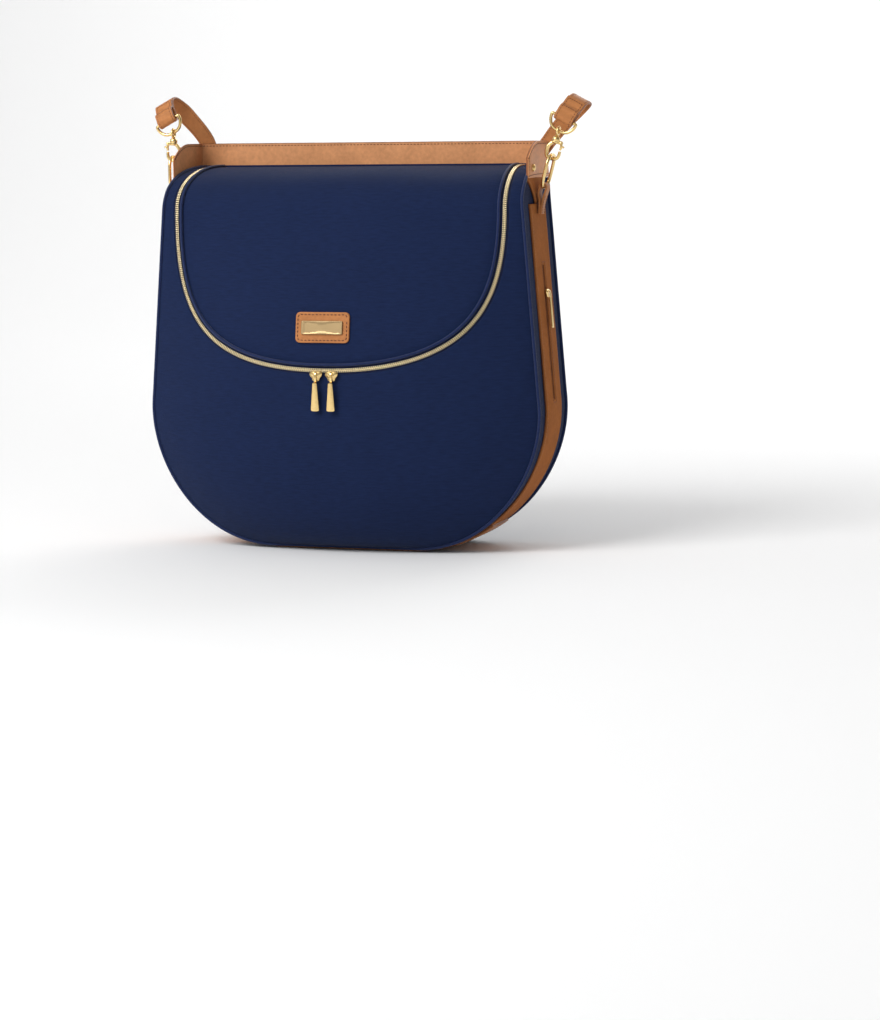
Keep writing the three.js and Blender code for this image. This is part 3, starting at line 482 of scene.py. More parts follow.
def woven(name, colour, pitch, contrast, depth, roughness=0.85, sheen=0.25, uneven=0.12):
    """Plain-weave cloth, its threads a pitch apart in the cloth's own UV, with a slightly uneven dye."""
    made, nodes, links, shader = new_material(name, colour, roughness)
    uv = nodes.new("ShaderNodeUVMap")
    uv.uv_map = "cloth"
    split = nodes.new("ShaderNodeSeparateXYZ")
    links.new(uv.outputs[0], split.inputs[0])
    turns = math.pi / (pitch * 0.001)
    warp = math_node(nodes, links, "SINE", math_node(nodes, links, "MULTIPLY", split.outputs[0], turns))
    weft = math_node(nodes, links, "SINE", math_node(nodes, links, "MULTIPLY", split.outputs[1], turns))
    crossing = math_node(nodes, links, "MULTIPLY", warp, weft)
    height = math_node(nodes, links, "MULTIPLY_ADD", crossing, 0.5, 0.5)
    where = nodes.new("ShaderNodeTexCoord").outputs["Object"]
    slubs = nodes.new("ShaderNodeVectorMath")
    slubs.operation = "MULTIPLY"
    links.new(uv.outputs[0], slubs.inputs[0])
    slubs.inputs[1].default_value = (0.16, 1, 1)
    threads = noise_at(nodes, links, slubs.outputs[0], 620, 3)
    dye = noise_at(nodes, links, where, 28, 4)
    shade = math_node(nodes, links, "MULTIPLY_ADD", height, contrast, 0.5 - contrast / 2)
    for noise, weight in ((threads, 1.1), (dye, uneven * 2)):
        centred = math_node(nodes, links, "SUBTRACT", noise, 0.5)
        shade = math_node(nodes, links, "MULTIPLY_ADD", centred, weight, shade)
    dark = tuple(c * 0.72 for c in colour)
    light = tuple(min(c * 1.28, 1) for c in colour)
    links.new(mixed_colour(nodes, links, shade, dark, light), shader.inputs["Base Color"])
    shader.inputs["Sheen Weight"].default_value = sheen
    shader.inputs["Sheen Roughness"].default_value = 0.45
    shader.inputs["Specular IOR Level"].default_value = 0.12
    height = math_node(nodes, links, "MULTIPLY_ADD", threads, 2.4, height)
    bump(nodes, links, shader, height, depth * 0.001)
    return made


def leather(name, colour, roughness=0.42, shine=0.1, grain=520, depth=0.12):
    """Smooth leather: fine grain and a little mottling."""
    made, nodes, links, shader = new_material(name, colour, roughness)
    where = nodes.new("ShaderNodeTexCoord").outputs["Object"]
    cells = nodes.new("ShaderNodeTexVoronoi")
    cells.inputs["Scale"].default_value = grain
    links.new(where, cells.inputs["Vector"])
    mottling = noise_at(nodes, links, where, 45, 4)
    fine = noise_at(nodes, links, where, 260, 3)
    dark = tuple(c * 0.55 for c in colour)
    light = tuple(min(c * 1.4, 1) for c in colour)
    clouds = math_node(nodes, links, "MULTIPLY", mottling, 0.5)
    shade = math_node(nodes, links, "MULTIPLY_ADD", fine, 0.5, clouds)
    links.new(mixed_colour(nodes, links, shade, dark, light), shader.inputs["Base Color"])
    rough = math_node(nodes, links, "MULTIPLY_ADD", mottling, 0.22, roughness - 0.11)
    links.new(rough, shader.inputs["Roughness"])
    height = math_node(nodes, links, "MULTIPLY_ADD", cells.outputs["Distance"], 0.6, fine)
    bump(nodes, links, shader, height, depth * 0.001, 0.7)
    shader.inputs["Specular IOR Level"].default_value = shine
    return made


def gilded(name, colour, roughness):
    """Gold-plated metal with faint scratches."""
    made, nodes, links, shader = new_material(name, colour, roughness, 1.0)
    where = nodes.new("ShaderNodeTexCoord").outputs["Object"]
    stretch = nodes.new("ShaderNodeVectorMath")
    stretch.operation = "MULTIPLY"
    links.new(where, stretch.inputs[0])
    stretch.inputs[1].default_value = (1, 1, 0.12)
    scratches = noise_at(nodes, links, stretch.outputs[0], 1400, 2)
    clouds = noise_at(nodes, links, where, 90, 3)
    rough = math_node(nodes, links, "MULTIPLY_ADD", clouds, 0.14, roughness - 0.07)
    links.new(rough, shader.inputs["Roughness"])
    bump(nodes, links, shader, scratches, 0.00002, 0.5)
    return made


def plain(name, colour, roughness, speckle=0.15, scale=300):
    """Thread, painted edges and board: one colour with a fine speckle."""
    made, nodes, links, shader = new_material(name, colour, roughness)
    where = nodes.new("ShaderNodeTexCoord").outputs["Object"]
    noise = noise_at(nodes, links, where, scale, 3)
    dark = tuple(c * (1 - speckle * 2) for c in colour)
    light = tuple(min(c * (1 + speckle * 2), 1) for c in colour)
    links.new(mixed_colour(nodes, links, noise, dark, light), shader.inputs["Base Color"])
    bump(nodes, links, shader, noise, 0.00008, 0.6)
    return made


navy = woven("navy canvas", (0.0066, 0.0155, 0.057), 0.62, 0.3, 0.1, 0.85, 0.05)
navy_piping = woven("navy piping cloth", (0.011, 0.021, 0.075), 0.55, 0.35, 0.08, 0.65, 0.2)
tape_cloth = woven("zip tape", (0.010, 0.015, 0.045), 0.7, 0.4, 0.12, 0.8, 0.1)
lining_cloth = woven("lining cloth", (0.55, 0.47, 0.34), 0.5, 0.25, 0.06, 0.8, 0.1)
tan = leather("tan leather", (0.47, 0.19, 0.068), 0.45)
# The band's leather is the tan painted lighter: painted light, where light from above and in front falls on
# the band.
tan_band_painted_light = leather("tan band leather with painted light", (0.68, 0.31, 0.138), 0.42, 0.15)
# The side leather is the tan painted darker: painted shade for the side of the bag that faces away from the
# light.
tan_side_painted_shade = leather("tan side leather with painted shade", (0.36, 0.125, 0.036), 0.6, 0.01)
tan_edge = plain("painted leather edge", (0.30, 0.10, 0.03), 0.45, 0.1)
thread_tan = plain("tan thread", (0.40, 0.17, 0.06), 0.6, 0.1, 900)
thread_dark = plain("brown thread", (0.13, 0.035, 0.012), 0.6, 0.1, 900)
thread_navy = plain("navy thread", (0.02, 0.03, 0.09), 0.6, 0.1, 900)
gold = gilded("gold-plated metal", (0.86, 0.62, 0.27), 0.2)
gold_plate = gilded("brushed gold plate", (0.38, 0.27, 0.14), 0.42)
gold_teeth = gilded("zip teeth metal", (0.95, 0.80, 0.50), 0.35)
board = plain("stiff board", (0.04, 0.04, 0.045), 0.6)


# ---- soft relief ----
def rolled(distance, radius):
    """How far a rounded edge falls away at a distance from it."""
    d = np.clip(distance, 0, radius)
    return radius - np.sqrt(np.maximum(radius**2 - (radius - d) ** 2, 0))


def soft_swell(a, b, height):
    """Long, low waves, as padded cloth has."""
    return height * (np.sin(a / 47 + b / 61 + 1.1) * np.sin(b / 53 - a / 90 + 0.4)
                     + 0.5 * np.sin(a / 23 - b / 31 + 2.0) * np.sin(b / 37 + 0.9))


def puckers(along, distance, height, pitch, reach):
    """Small gathers that a seam pulls into the cloth beside it."""
    wander = 1.3 * np.sin(along / 41) + 0.8 * np.sin(along / 17 + 1)
    return height * np.exp(-distance / reach) * np.sin(2 * np.pi * along / pitch + wander)


def edge_rows(length, count, near=(0, 0.25, 0.7, 1.4, 2.6, 4.5)):
    """Distances from one edge to the other, closer together near both."""
    near = np.array(near)
    length = np.asarray(length, float)[..., None]
    low = np.minimum(near, length * 0.45 * near / near[-1])
    middle = low[..., -1:] + (length - 2 * low[..., -1:]) * np.linspace(0, 1, count + 2)[1:-1]
    return np.concatenate([low, middle, length - low[..., ::-1]], -1)


# ---- the front panel and the lid ----
def zip_path():
    """The zip's line on the front and over the top: (x, run), from the left end to the right end."""
    handle = (ZIP_HALF_WIDTH, ZIP_SIDE_TOP - 95)
    corner = bezier([(0, ZIP_BOTTOM), (144, ZIP_BOTTOM), handle, (ZIP_HALF_WIDTH, ZIP_SIDE_TOP)], 80)
    run = np.linspace(ZIP_SIDE_TOP + 2, WHOLE_RUN, 50)
    back = np.maximum(profile(run)[0] + SEAM_DEPTH, 0) / (ZIP_PLAN_END + SEAM_DEPTH)
    top = np.stack([ZIP_HALF_WIDTH - (ZIP_HALF_WIDTH - ZIP_BACK_HALF_WIDTH) * back, run], -1)
    half = np.vstack([corner, top])
    return even_path(np.vstack([half[::-1][:-1] * [-1, 1], half]), 440)


ZIP_LINE = zip_path()


def outwards(path):
    """Unit vectors at right angles to a flat path."""
    tangent = unit(np.gradient(path, axis=0))
    return np.stack([tangent[:, 1], -tangent[:, 0]], -1)


def beside_zip(offset):
    """The zip's line moved outwards in the cloth."""
    line = ZIP_LINE + offset * outwards(ZIP_LINE)
    line[:, 1] = np.minimum(line[:, 1], WHOLE_RUN)
    return line


def on_front(path, lift=0.0):
    return front_point(path[:, 0], path[:, 1], lift)


def front_ups(path):
    return front_normal(path[:, 0], path[:, 1])


def outer_edge(inner):
    """The point of the panel's outline that belongs to each point of its inner edge."""
    found = np.empty_like(inner)
    legs = inner[:, 1] >= ZIP_SIDE_TOP
    z = profile(inner[legs, 1])[1]
    found[legs, 0] = np.sign(inner[legs, 0]) * half_width(z)
    found[legs, 1] = inner[legs, 1]
    low = ~legs
    down = OUTLINE[OUTLINE[:, 1] < ZIP_SIDE_TOP][::-1]
    down = np.vstack([[half_width(ZIP_SIDE_TOP), ZIP_SIDE_TOP], down, [[0, 0]]])
    whole = even_path(np.vstack([down * [-1, 1], down[::-1][1:]]), 1200)
    run = path_length(inner[low])
    share = run / run[-1]
    at = share * (len(whole) - 1)
    for k in (0, 1):
        found[low, k] = np.interp(at, np.arange(len(whole)), whole[:, k])
    return found


def front_panel():
    inner = beside_zip(TAPE + 0.3)
    outer = outer_edge(inner)
    length = np.linalg.norm(outer - inner, axis=1)
    rows = edge_rows(length, 34)
    share = rows / length[:, None]
    flat = inner[None] + (outer - inner)[None] * share.T[..., None]
    near_zip = rows.T
    near_seam = (length[:, None] - rows).T
    along = np.broadcast_to(path_length(inner), near_zip.shape)
    x, run = flat[..., 0], flat[..., 1]
    quiet = np.clip(np.minimum(near_zip, near_seam) / 30, 0, 1)
    lift = (soft_swell(x, run, 0.75) * quiet - rolled(near_zip, 1.3) - rolled(near_seam, 1.0)
            - 0.5 * np.exp(-near_seam / 6) + puckers(along, near_zip, 0.12, 14, 8)
            + puckers(along * 1.4, near_seam, 0.2, 23, 12))
    points = front_point(x, run, lift)
    piece = sheet("front_panel_cloth", points, PANEL, navy, flat, normals=front_normal(x, run))
    return place(piece, "bag", "navy_fabric", "front_panel")


def lid_grid(inset, rings, near):
    """Rings from the lid's edge to its middle: flat points and distances from the edge."""
    edge = beside_zip(-inset)
    edge[:, 1] = np.minimum(edge[:, 1], WHOLE_RUN - 0.4)
    across = np.linspace(1, -1, 90)[1:-1] * edge[-1, 0]
    loop = np.vstack([edge, np.stack([across, np.full(len(across), WHOLE_RUN - 0.4)], -1)])
    middle = np.array([0, 330.0])
    length = np.linalg.norm(loop - middle, axis=1)
    near = np.array(near)
    inside = np.linspace(0, 1, rings + 1)[1:]
    rows = np.concatenate([np.broadcast_to(near, (len(loop), len(near))),
                           near[-1] + (length[:, None] - near[-1]) * inside], 1)
    share = rows / length[:, None]
    flat = loop[None] + (middle - loop)[None] * share.T[..., None]
    return flat, rows.T, loop


def lid_panel():
    flat, distance, loop = lid_grid(TAPE + 0.3, 34, (0, 0.25, 0.7, 1.3, 2.4, 4, 6))
    x, run = flat[..., 0], flat[..., 1]
    along = np.broadcast_to(path_length(loop), x.shape)
    hinge = np.clip((WHOLE_RUN - run) / 12, 0, 1)
    quiet = np.clip(distance / 30, 0, 1)
    groove = 0.7 * np.exp(-((distance - 4.2) / 1.6) ** 2)
    lift = (soft_swell(x, run + 60, 0.8) * quiet - rolled(distance, 1.2) - groove
            + puckers(along, distance, 0.12, 14.5, 8) * hinge)
    points = front_point(x, run, lift)
    piece = sheet("lid_cloth", points, PANEL, navy, flat, closed=True, normals=front_normal(x, run))
    return place(piece, "lid", "navy_fabric", "lid_panel")


def lid_lining():
    flat = lid_grid(TAPE + 2.2, 20, (0, 0.4, 1, 3, 6))[0]
    x, run = flat[..., 0], flat[..., 1]
    lift = -PANEL - GAP - soft_swell(x * 1.6, run * 1.4, 0.35) ** 2
    piece = sheet("lid_lining_cloth", front_point(x, run, lift), LINING, lining_cloth, flat, closed=True,
                  normals=front_normal(x, run))
    place(piece, "lid", "lining_cloth", "lid_lining")
    line = beside_zip(-TAPE - 5)
    seam = on_front(line, -PANEL - GAP - LINING)
    thread = stitches("lid_lining_stitches", seam, -front_ups(line), thread_navy, 3.4)
    place(thread, "lid", "lining_cloth")


def zip_band():
    """Two rows of metal teeth that mesh, each on its own woven tape."""
    for name, sign, body in (("body", 1, "bag"), ("lid", -1, "lid")):
        across = np.array([0.35, 0.5, 1.8, 3.0, 4.4])
        flat = np.stack([beside_zip(sign * d) for d in across])
        lift = np.array([-1.0, -0.75, -0.7, -0.75, -1.1])[:, None]
        points = front_point(flat[..., 0], flat[..., 1], lift)
        tape = sheet(f"zip_tape_{name}", points, 0.5, tape_cloth, None,
                     normals=front_normal(flat[..., 0], flat[..., 1]))
        place(tape, body, "zip_teeth", f"zip_teeth_{name}")
        short = 3 if body == "lid" else 0  # the lid's row stops just short of the hinge
        line = beside_zip(sign * 0.85)[short:len(ZIP_LINE) - short]
        teeth = row_places(on_front(line, 0.1), front_ups(line), 2.0, 0.25 * sign)
        row = copies(f"zip_teeth_{name}_row", block_shape((1.1, 2.3, 1.4), 0.3), teeth, gold_teeth)
        place(row, body, "zip_teeth")


def lid_piping():
    line = beside_zip(-(TAPE + 2.1))
    line = line[(line[:, 1] < WHOLE_RUN - 1)]
    path = on_front(line, 1.0)
    cord = tube("lid_piping_cord", path, 1.5, navy_piping)
    place(cord, "lid", "navy_fabric", "lid_piping")


# ---- the sides, the back and the base ----
def side_line(top, low=0.0):
    """The outline from the left top, under the base and up to the right top: (x, z)."""
    right = OUTLINE[(OUTLINE[:, 1] <= top) & (OUTLINE[:, 1] >= low)]
    right = np.vstack([right, [[half_width(top), top]]])
    if low > 0:
        return right
    base = np.array([[0, 0]])
    return np.vstack([right[::-1] * [-1, 1], base, right])


def gusset():
    line = even_path(side_line(BAG_HEIGHT - 1), 460)
    out = outwards(line)
    rise = np.clip((line[:, 1] - FRONT_RUN) / EDGE_HEIGHT, 0, 1)
    front = EDGE_DEPTH * (1 - np.sqrt(1 - rise**2)) - SEAM_DEPTH + 0.6
    back = SEAM_DEPTH - 0.6
    rows = edge_rows(back - front, 24)
    y = front[:, None] + rows
    near = np.minimum(rows, rows[:, ::-1])
    along = path_length(line)[:, None]
    quiet = np.clip(near / 20, 0, 1)
    lift = (soft_swell(along + 0 * y, y * 2, 0.5) * quiet - rolled(near, 1.0) - 0.5 * np.exp(-near / 5)
            + puckers(along, near, 0.16, 23, 9))
    low = np.clip(line[:, 1:2] / 30, 0, 1)
    lift = lift * low - (1 - low) * 0.8
    x = line[:, :1] + out[:, :1] * lift
    z = line[:, 1:2] + out[:, 1:2] * lift
    points = np.stack([x, y, z], -1)
    normals = np.stack([out[:, :1] + 0 * y, 0 * y, out[:, 1:2] + 0 * y], -1)
    uv = np.stack([y, along + 0 * y], -1)
    low_end, high_end, half = POCKET_SLOT

    def pocket_slot(row, column):
        return low_end < line[row, 1] < high_end and abs(y[row, column : column + 2].mean()) < half

    piece = sheet("gusset_cloth", points, PANEL, navy, uv, normals=normals, hole=pocket_slot)
    return place(piece, "bag", "navy_fabric", "gusset")


def back_panel():
    z = np.concatenate([edge_rows(np.array(BAG_HEIGHT - 4.0), 70)[:-6], [BAG_HEIGHT - 3, BAG_HEIGHT - 1]])
    share = np.concatenate([[-1], -1 + np.array([0.003, 0.008, 0.016, 0.03]), np.linspace(-0.96, 0.96, 70)])
    share = np.concatenate([share, -share[:5][::-1]])
    x = half_width(z)[:, None] * share
    zz = z[:, None] + 0 * x
    from_side = half_width(z)[:, None] - np.abs(x)
    near = np.minimum(from_side, zz + 0.01)
    quiet = np.clip(near / 30, 0, 1)
    lift = (soft_swell(x + 300, zz, 0.8) * quiet - rolled(near, 1.6) - 0.8 * np.exp(-near / 6)
            + puckers(zz + np.abs(x) * 0.6, near, 0.3, 19, 11))
    points = back_point(x, zz, lift)
    over = []
    for y, height in ((48.6, 1.2), (46.8, 1.6), (44.6, 1.2), (44.4, -0.5)):
        flat = 0 * x[-1]
        over.append(np.stack([x[-1] * 0.985, flat + y, flat + BAG_HEIGHT + height], -1))
    points = np.vstack([points, over])
    uv = np.stack([points[..., 0], points[..., 2] - points[..., 1]], -1)
    piece = sheet("back_cloth", points, PANEL, navy, uv, normals=-grid_normals(points))
    return place(piece, "bag", "navy_fabric", "back_panel")


def seam_cord(name, y, top, node, over_the_top):
    line = even_path(side_line(top), 380)
    out = outwards(line)
    at = line + out * 0.5
    path = np.stack([at[:, 0], np.full(len(at), y), at[:, 1]], -1)
    if over_the_top:
        angles = np.radians(np.linspace(6, 86, 24))
        z = FRONT_RUN + EDGE_HEIGHT * np.sin(angles)
        depth = y + EDGE_DEPTH * (1 - np.cos(angles))
        side = half_width(z) + 0.5
        right = np.stack([side, depth, z], -1)
        deep = np.linspace(y + EDGE_DEPTH, SEAM_DEPTH - 4, 14)
        ridge = np.stack([np.full(14, TOP_HALF_WIDTH + 0.3), deep, np.full(14, BAG_HEIGHT + 0.4)], -1)
        right = np.vstack([right, ridge])
        path = np.vstack([right[::-1] * [-1, 1, 1], path, right])
    cord = tube(name, even_path(path, 520), PIPING_RADIUS, navy_piping)
    return place(cord, "bag", "navy_fabric", node)


def base_panel():
    line = side_line(24)
    line = even_path(line, 220)
    out = outwards(line)
    rise = np.clip((np.abs(line[:, 0]) - BASE_HALF_WIDTH + 6) / 26, 0, 1)
    half = 42 - 15 * rise**2 * (3 - 2 * rise)
    share = np.concatenate([[-1, -0.992, -0.975, -0.94], np.linspace(-0.88, 0.88, 30),
                            [0.94, 0.975, 0.992, 1]])
    y = half[:, None] * share
    near = half[:, None] - np.abs(y)
    lift = 4.3 - rolled(near, 0.9)
    x = line[:, :1] + out[:, :1] * lift
    z = np.maximum(line[:, 1:2] + out[:, 1:2] * lift, -BASE_LIFT)
    points = np.stack([x, y, z], -1)
    normals = np.stack([out[:, :1] + 0 * y, 0 * y, out[:, 1:2] + 0 * y], -1)
    piece = sheet("base_leather", points, 4.0, tan, None, normals=normals, edge=tan_edge)
    place(piece, "bag", "tan_leather", "base_panel")
    for sign, name in ((-1, "front"), (1, "back")):
        inset = half - 3
        at = line + out * 4.3
        path = np.stack([at[:, 0], sign * inset, np.maximum(at[:, 1], -BASE_LIFT + 0.05)], -1)
        ups = np.stack([out[:, 0], 0 * inset, out[:, 1]], -1)
        thread = stitches(f"base_stitches_{name}", path, ups, thread_dark, 3.2, lift=-0.12)
        place(thread, "bag", "tan_leather")


# ---- leather trim ----
def fold_lines(low, high, *rims):
    """Positions across a leather piece, closer together at its edges and at the lines in rims."""
    found = [low, low + 0.12, low + 0.35, low + 0.7, high - 0.7, high - 0.35, high - 0.12, high]
    found += list(np.arange(low + 1.5, high - 1.5, 2.0)) + list(rims)
    return np.unique(np.round(found, 3))


SLIT = (147, 280, 3.3)  # the side pocket's slit: from, to, half width


def side_trim(name, side, low, high, half, thickness, slit=False, lift=0.3, bow=0.0):
    """A leather strip on the side of the bag, its half width a function of the height."""
    z = np.unique(np.concatenate([fold_lines(low, high), SLIT[:2] if slit else []]))
    share = np.concatenate([[-1, -0.99, -0.97, -0.94], np.linspace(-0.9, 0.9, 25), [0.94, 0.97, 0.99, 1]])
    if slit:
        edge = SLIT[2] / float(half(z[0]))
        share = np.unique(np.concatenate([share, [-edge, edge]]))
    y = half(z)[:, None] * share
    zz = z[:, None] + 0 * y
    near = np.minimum(half(z)[:, None] - np.abs(y), np.minimum(zz - low, high - zz))
    beyond = np.maximum(np.maximum(np.abs(y) - SLIT[2], np.maximum(SLIT[0] - zz, zz - SLIT[1])), 0)
    if slit:
        near = np.minimum(near, beyond * 0.8)
    calm = np.clip(beyond / 12, 0, 1)
    ripple = 0.25 * np.sin(zz / 19 + side) * np.cos(y / 13) * calm
    out = lift + thickness - rolled(near, 0.7) + bow * np.exp(-beyond / 7) + ripple
    points = side_point(side, y, zz, out)
    nx, nz = side_normal(zz)
    normals = np.stack([side * nx, 0 * nx, nz], -1)

    def in_slit(row, column):
        middle_z, middle_y = (z[row] + z[row + 1]) / 2, (y[row, column] + y[row, column + 1]) / 2
        return SLIT[0] < middle_z < SLIT[1] and abs(middle_y) < SLIT[2]

    # The side strips and yokes take the darker copy of the tan leather, which is painted shade on the side.
    return sheet(name, points, thickness, tan_side_painted_shade, None, normals=normals, edge=tan_edge,
                 hole=in_slit if slit else None)


def side_path(side, y, z, lift):
    """A line on the side of the bag and the directions out from it."""
    nx, nz = side_normal(z)
    return side_point(side, y, z, lift), np.stack([side * nx + 0 * y, 0 * nx + 0 * y, nz + 0 * y], -1)


def side_strip(side, name):
    def half(z):
        return STRIP_HALF_WIDTH + 0 * z

    strip = side_trim(f"side_strip_leather_{name}", side, STRIP_LOW, STRIP_HIGH, half, LEATHER, slit=True,
                      bow=0.8)
    place(strip, "bag", "tan_leather", f"side_strip_{name}")
    rows = []
    z = np.linspace(25, 339, 260)
    for edge in (-24.4, 24.4):
        path, ups = side_path(side, edge + 0 * z, z, LEATHER + 0.3)
        rows.append(stitches(f"strip_thread_{name}", path, ups, thread_tan, 3.0, lift=0.1))
    y, z = [-5.6, 5.6, 5.6, -5.6, -5.6], [144, 144, 283, 283, 144]
    loop = even_path(np.stack([y, z], -1), 240)
    path, ups = side_path(side, loop[:, 0], loop[:, 1], LEATHER + 0.9)
    rows.append(stitches(f"slit_thread_{name}", path, ups, thread_dark, 2.8, lift=0.0))
    place(join(f"strip_stitches_{name}", rows), "bag", "tan_leather")


def side_zip(side, name):
    z = np.linspace(*SIDE_ZIP, 90)
    y = np.array([-5.5, -3.2, -1.2, -0.2, 0.2, 1.2, 3.2, 5.5])
    lift = np.array([-0.5, 0.2, 0.35, 0.1, 0.1, 0.35, 0.2, -0.5])
    points = side_point(side, y[None] + 0 * z[:, None], z[:, None] + 0 * y[None], lift[None])
    tape = sheet(f"side_zip_tape_{name}", points, 0.5, tape_cloth, None,
                 normals=grid_normals(points) * -side)
    place(tape, "bag", "zip_teeth", f"side_zip_teeth_{name}")
    rows = []
    for shift, edge in ((-0.25, -0.62), (0.25, 0.62)):
        path, ups = side_path(side, edge + 0 * z, z, 0.9)
        rows.append(copies(f"side_zip_row_{name}", block_shape((1.05, 1.6, 1.2), 0.28),
                           row_places(path, ups, 2.0, shift), gold_teeth))
    place(join(f"side_zip_rows_{name}", rows), "bag", "zip_teeth")
    z = np.linspace(150, 300, 60)
    y = np.linspace(-36, 36, 24)
    slack = -PANEL - 1.6 - 1.2 * (1 - (y[None] / 36) ** 2) * np.sin((z[:, None] - 150) / 150 * np.pi)
    points = side_point(side, y[None] + 0 * z[:, None], z[:, None] + 0 * y[None], slack)
    pocket = sheet(f"side_pocket_cloth_{name}", points, 0.6, lining_cloth, None)
    place(pocket, "bag", "lining_cloth", f"side_pocket_{name}")


def top_band():
    """The leather band: its top edge sewn, a raw edge below, and lapped seams near its corners."""
    x = half_width(BAND_LOW) + GAP + BAND_THICKNESS
    y = SEAM_DEPTH + GAP + BAND_THICKNESS
    radius = 4.0
    right = [(x, v) for v in np.linspace(BAND_FRONT, y - radius, 24)]
    right += [(x - radius + radius * math.cos(a), y - radius + radius * math.sin(a))
              for a in np.radians(np.linspace(10, 90, 9))]
    right = np.array(right)
    plan = even_path(np.vstack([right, right[::-1] * [-1, 1]]), 440)
    run = path_length(plan)
    out = -outwards(plan)
    if out[220] @ [0, 1] < 0:
        out = -out
    from_end = np.minimum(run, run[-1] - run)
    z = fold_lines(BAND_LOW, BAND_HIGH)
    zz = z[:, None] + 0 * run
    share = (zz - BAND_LOW) / (BAND_HIGH - BAND_LOW)
    ahead = np.clip((BAND_SLOPE_FROM - plan[:, 1]) / (BAND_SLOPE_FROM - BAND_FRONT), 0, 1)
    height = zz - (BAND_HIGH - BAND_END_HEIGHT) * ahead**2 * share
    near = np.minimum(np.minimum(zz - BAND_LOW, BAND_HIGH - zz), from_end[None])
    sewn = np.exp(-(((zz - BAND_HIGH + 3.2) / 1.1) ** 2))
    wave = (0.7 * np.sin(run / 57 + 0.6) + 0.35 * np.sin(run / 21 + 2)) * share
    wave = wave + 0.25 * np.sin(run / 9) * np.sin(zz / 7)
    lap = 0.5 * np.clip((from_end[None] - 81) / 0.8, 0, 1) - 0.5
    settle = np.clip(np.minimum(from_end / 60, share * 3), 0, 1)
    lift = lap * 0.6 - rolled(near, 0.8) - 0.25 * sewn + (wave - 0.9) * settle * 0.8
    points = np.stack([plan[:, 0] + out[:, 0] * lift, plan[:, 1] + out[:, 1] * lift, height], -1)
    normals = np.stack([out[:, 0] + 0 * zz, out[:, 1] + 0 * zz, 0 * zz], -1)
    thickness = BAND_THICKNESS - 0.9
    # The band takes the lighter copy of the tan leather, which is painted light from above.
    band = sheet("top_band_leather", points, thickness, tan_band_painted_light, None, normals=normals, edge=tan_edge)
    place(band, "bag", "tan_leather", "top_band")

    rows = []
    ups = np.stack([out[:, 0], out[:, 1], 0 * run], -1)
    for level, pitch in ((BAND_HIGH - 3.2, 3.6), (BAND_LOW + 3.2, 3.2)):
        row = int(np.argmin(np.abs(z - level)))
        outer = points[row]
        rows.append(stitches("band_thread", outer, ups, thread_dark, pitch, 2.5, 0.4))
        rows.append(stitches("band_thread", outer - ups * thickness, -ups, thread_dark, pitch, 2.5, 0.4))
    for start in (4.0, 84.0):
        for at in (start, run[-1] - start):
            column = int(np.argmin(np.abs(run - at)))
            seam = even_path(points[4:-4, column], 40)
            rows.append(stitches("band_thread", seam, np.tile(ups[column], (40, 1)), thread_tan, 2.8))
    place(join("band_stitches", rows), "bag", "tan_leather")


def yoke(side, name):
    def half(z):
        widening = np.clip((z - YOKE_POINT) / YOKE_RISE, 0, 1) ** 1.5
        return YOKE_POINT_HALF_WIDTH + (YOKE_HALF_WIDTH - YOKE_POINT_HALF_WIDTH) * widening

    piece = side_trim(f"yoke_leather_{name}", side, YOKE_POINT, YOKE_TOP, half, LEATHER)
    place(piece, "bag", "tan_leather", f"yoke_{name}")
    rows = []
    z = np.linspace(342, 364, 40)
    for sign in (-1, 1):
        path, ups = side_path(side, sign * (half(z) - 2.2), z, LEATHER + 0.3)
        rows.append(stitches(f"yoke_thread_{name}", path, ups, thread_tan, 2.8))
    place(join(f"yoke_stitches_{name}", rows), "bag", "tan_leather")


RING_X = float(half_width(RING_LOW_BAR)) + RING_STAND_OFF


def ring_tab(side, name):
    """A folded leather strip round the ring's lower bar, its two legs sewn together."""
    wall = float(half_width(RING_LOW_BAR - 22)) + LEATHER + 1.5
    reach = RING_BAR_RADIUS + 0.9 + LEATHER / 2
    arc = [(RING_X + reach * math.cos(a), RING_LOW_BAR + reach * math.sin(a))
           for a in np.radians(np.linspace(-20, 200, 16))]
    outer_leg = [(wall + 2.6, RING_LOW_BAR - TAB_DROP), (wall + 3.6, RING_LOW_BAR - 18),
                 (RING_X + 1.2, RING_LOW_BAR - 8)]
    inner_leg = [(RING_X - 4.6, RING_LOW_BAR - 6), (wall + 1.6, RING_LOW_BAR - 14),
                 (wall + 0.9, RING_LOW_BAR - TAB_DROP)]
    route = smooth_curve(outer_leg + arc[::3] + inner_leg, 90)
    path = np.stack([side * route[:, 0], 0 * route[:, 0], route[:, 1]], -1)
    section = rounded_bar(LEATHER, 12, 0.7)
    piece = sweep(f"ring_tab_leather_{name}", path, section, tan, up=np.tile([0.0, 1, 0], (90, 1)))
    place(piece, "bag", "tan_leather", f"ring_tab_{name}")
    rows = []
    leg = path[:26]
    out = np.tile([float(side), 0, 0.0], (26, 1))
    for y in (-4.4, 4.4):
        rows.append(stitches(f"tab_thread_{name}", leg + [side * 1.05, y, 0], out, thread_dark, 2.6, 2.0))
    place(join(f"ring_tab_stitches_{name}", rows), "bag", "tan_leather")


def rivet(side, name):
    face = float(half_width(BAND_LOW)) + GAP + BAND_THICKNESS
    profile_points = [(0, 2.3), (1.4, 2.1), (2.6, 1.6), (3.5, 0.8), (3.9, 0.2), (4.1, -0.2)]
    piece = lathe(f"rivet_dome_{name}", profile_points, (side * (face + 0.1), *RIVET), (side, 0, 0), gold)
    place(piece, "bag", "gold_metal", f"rivet_{name}")


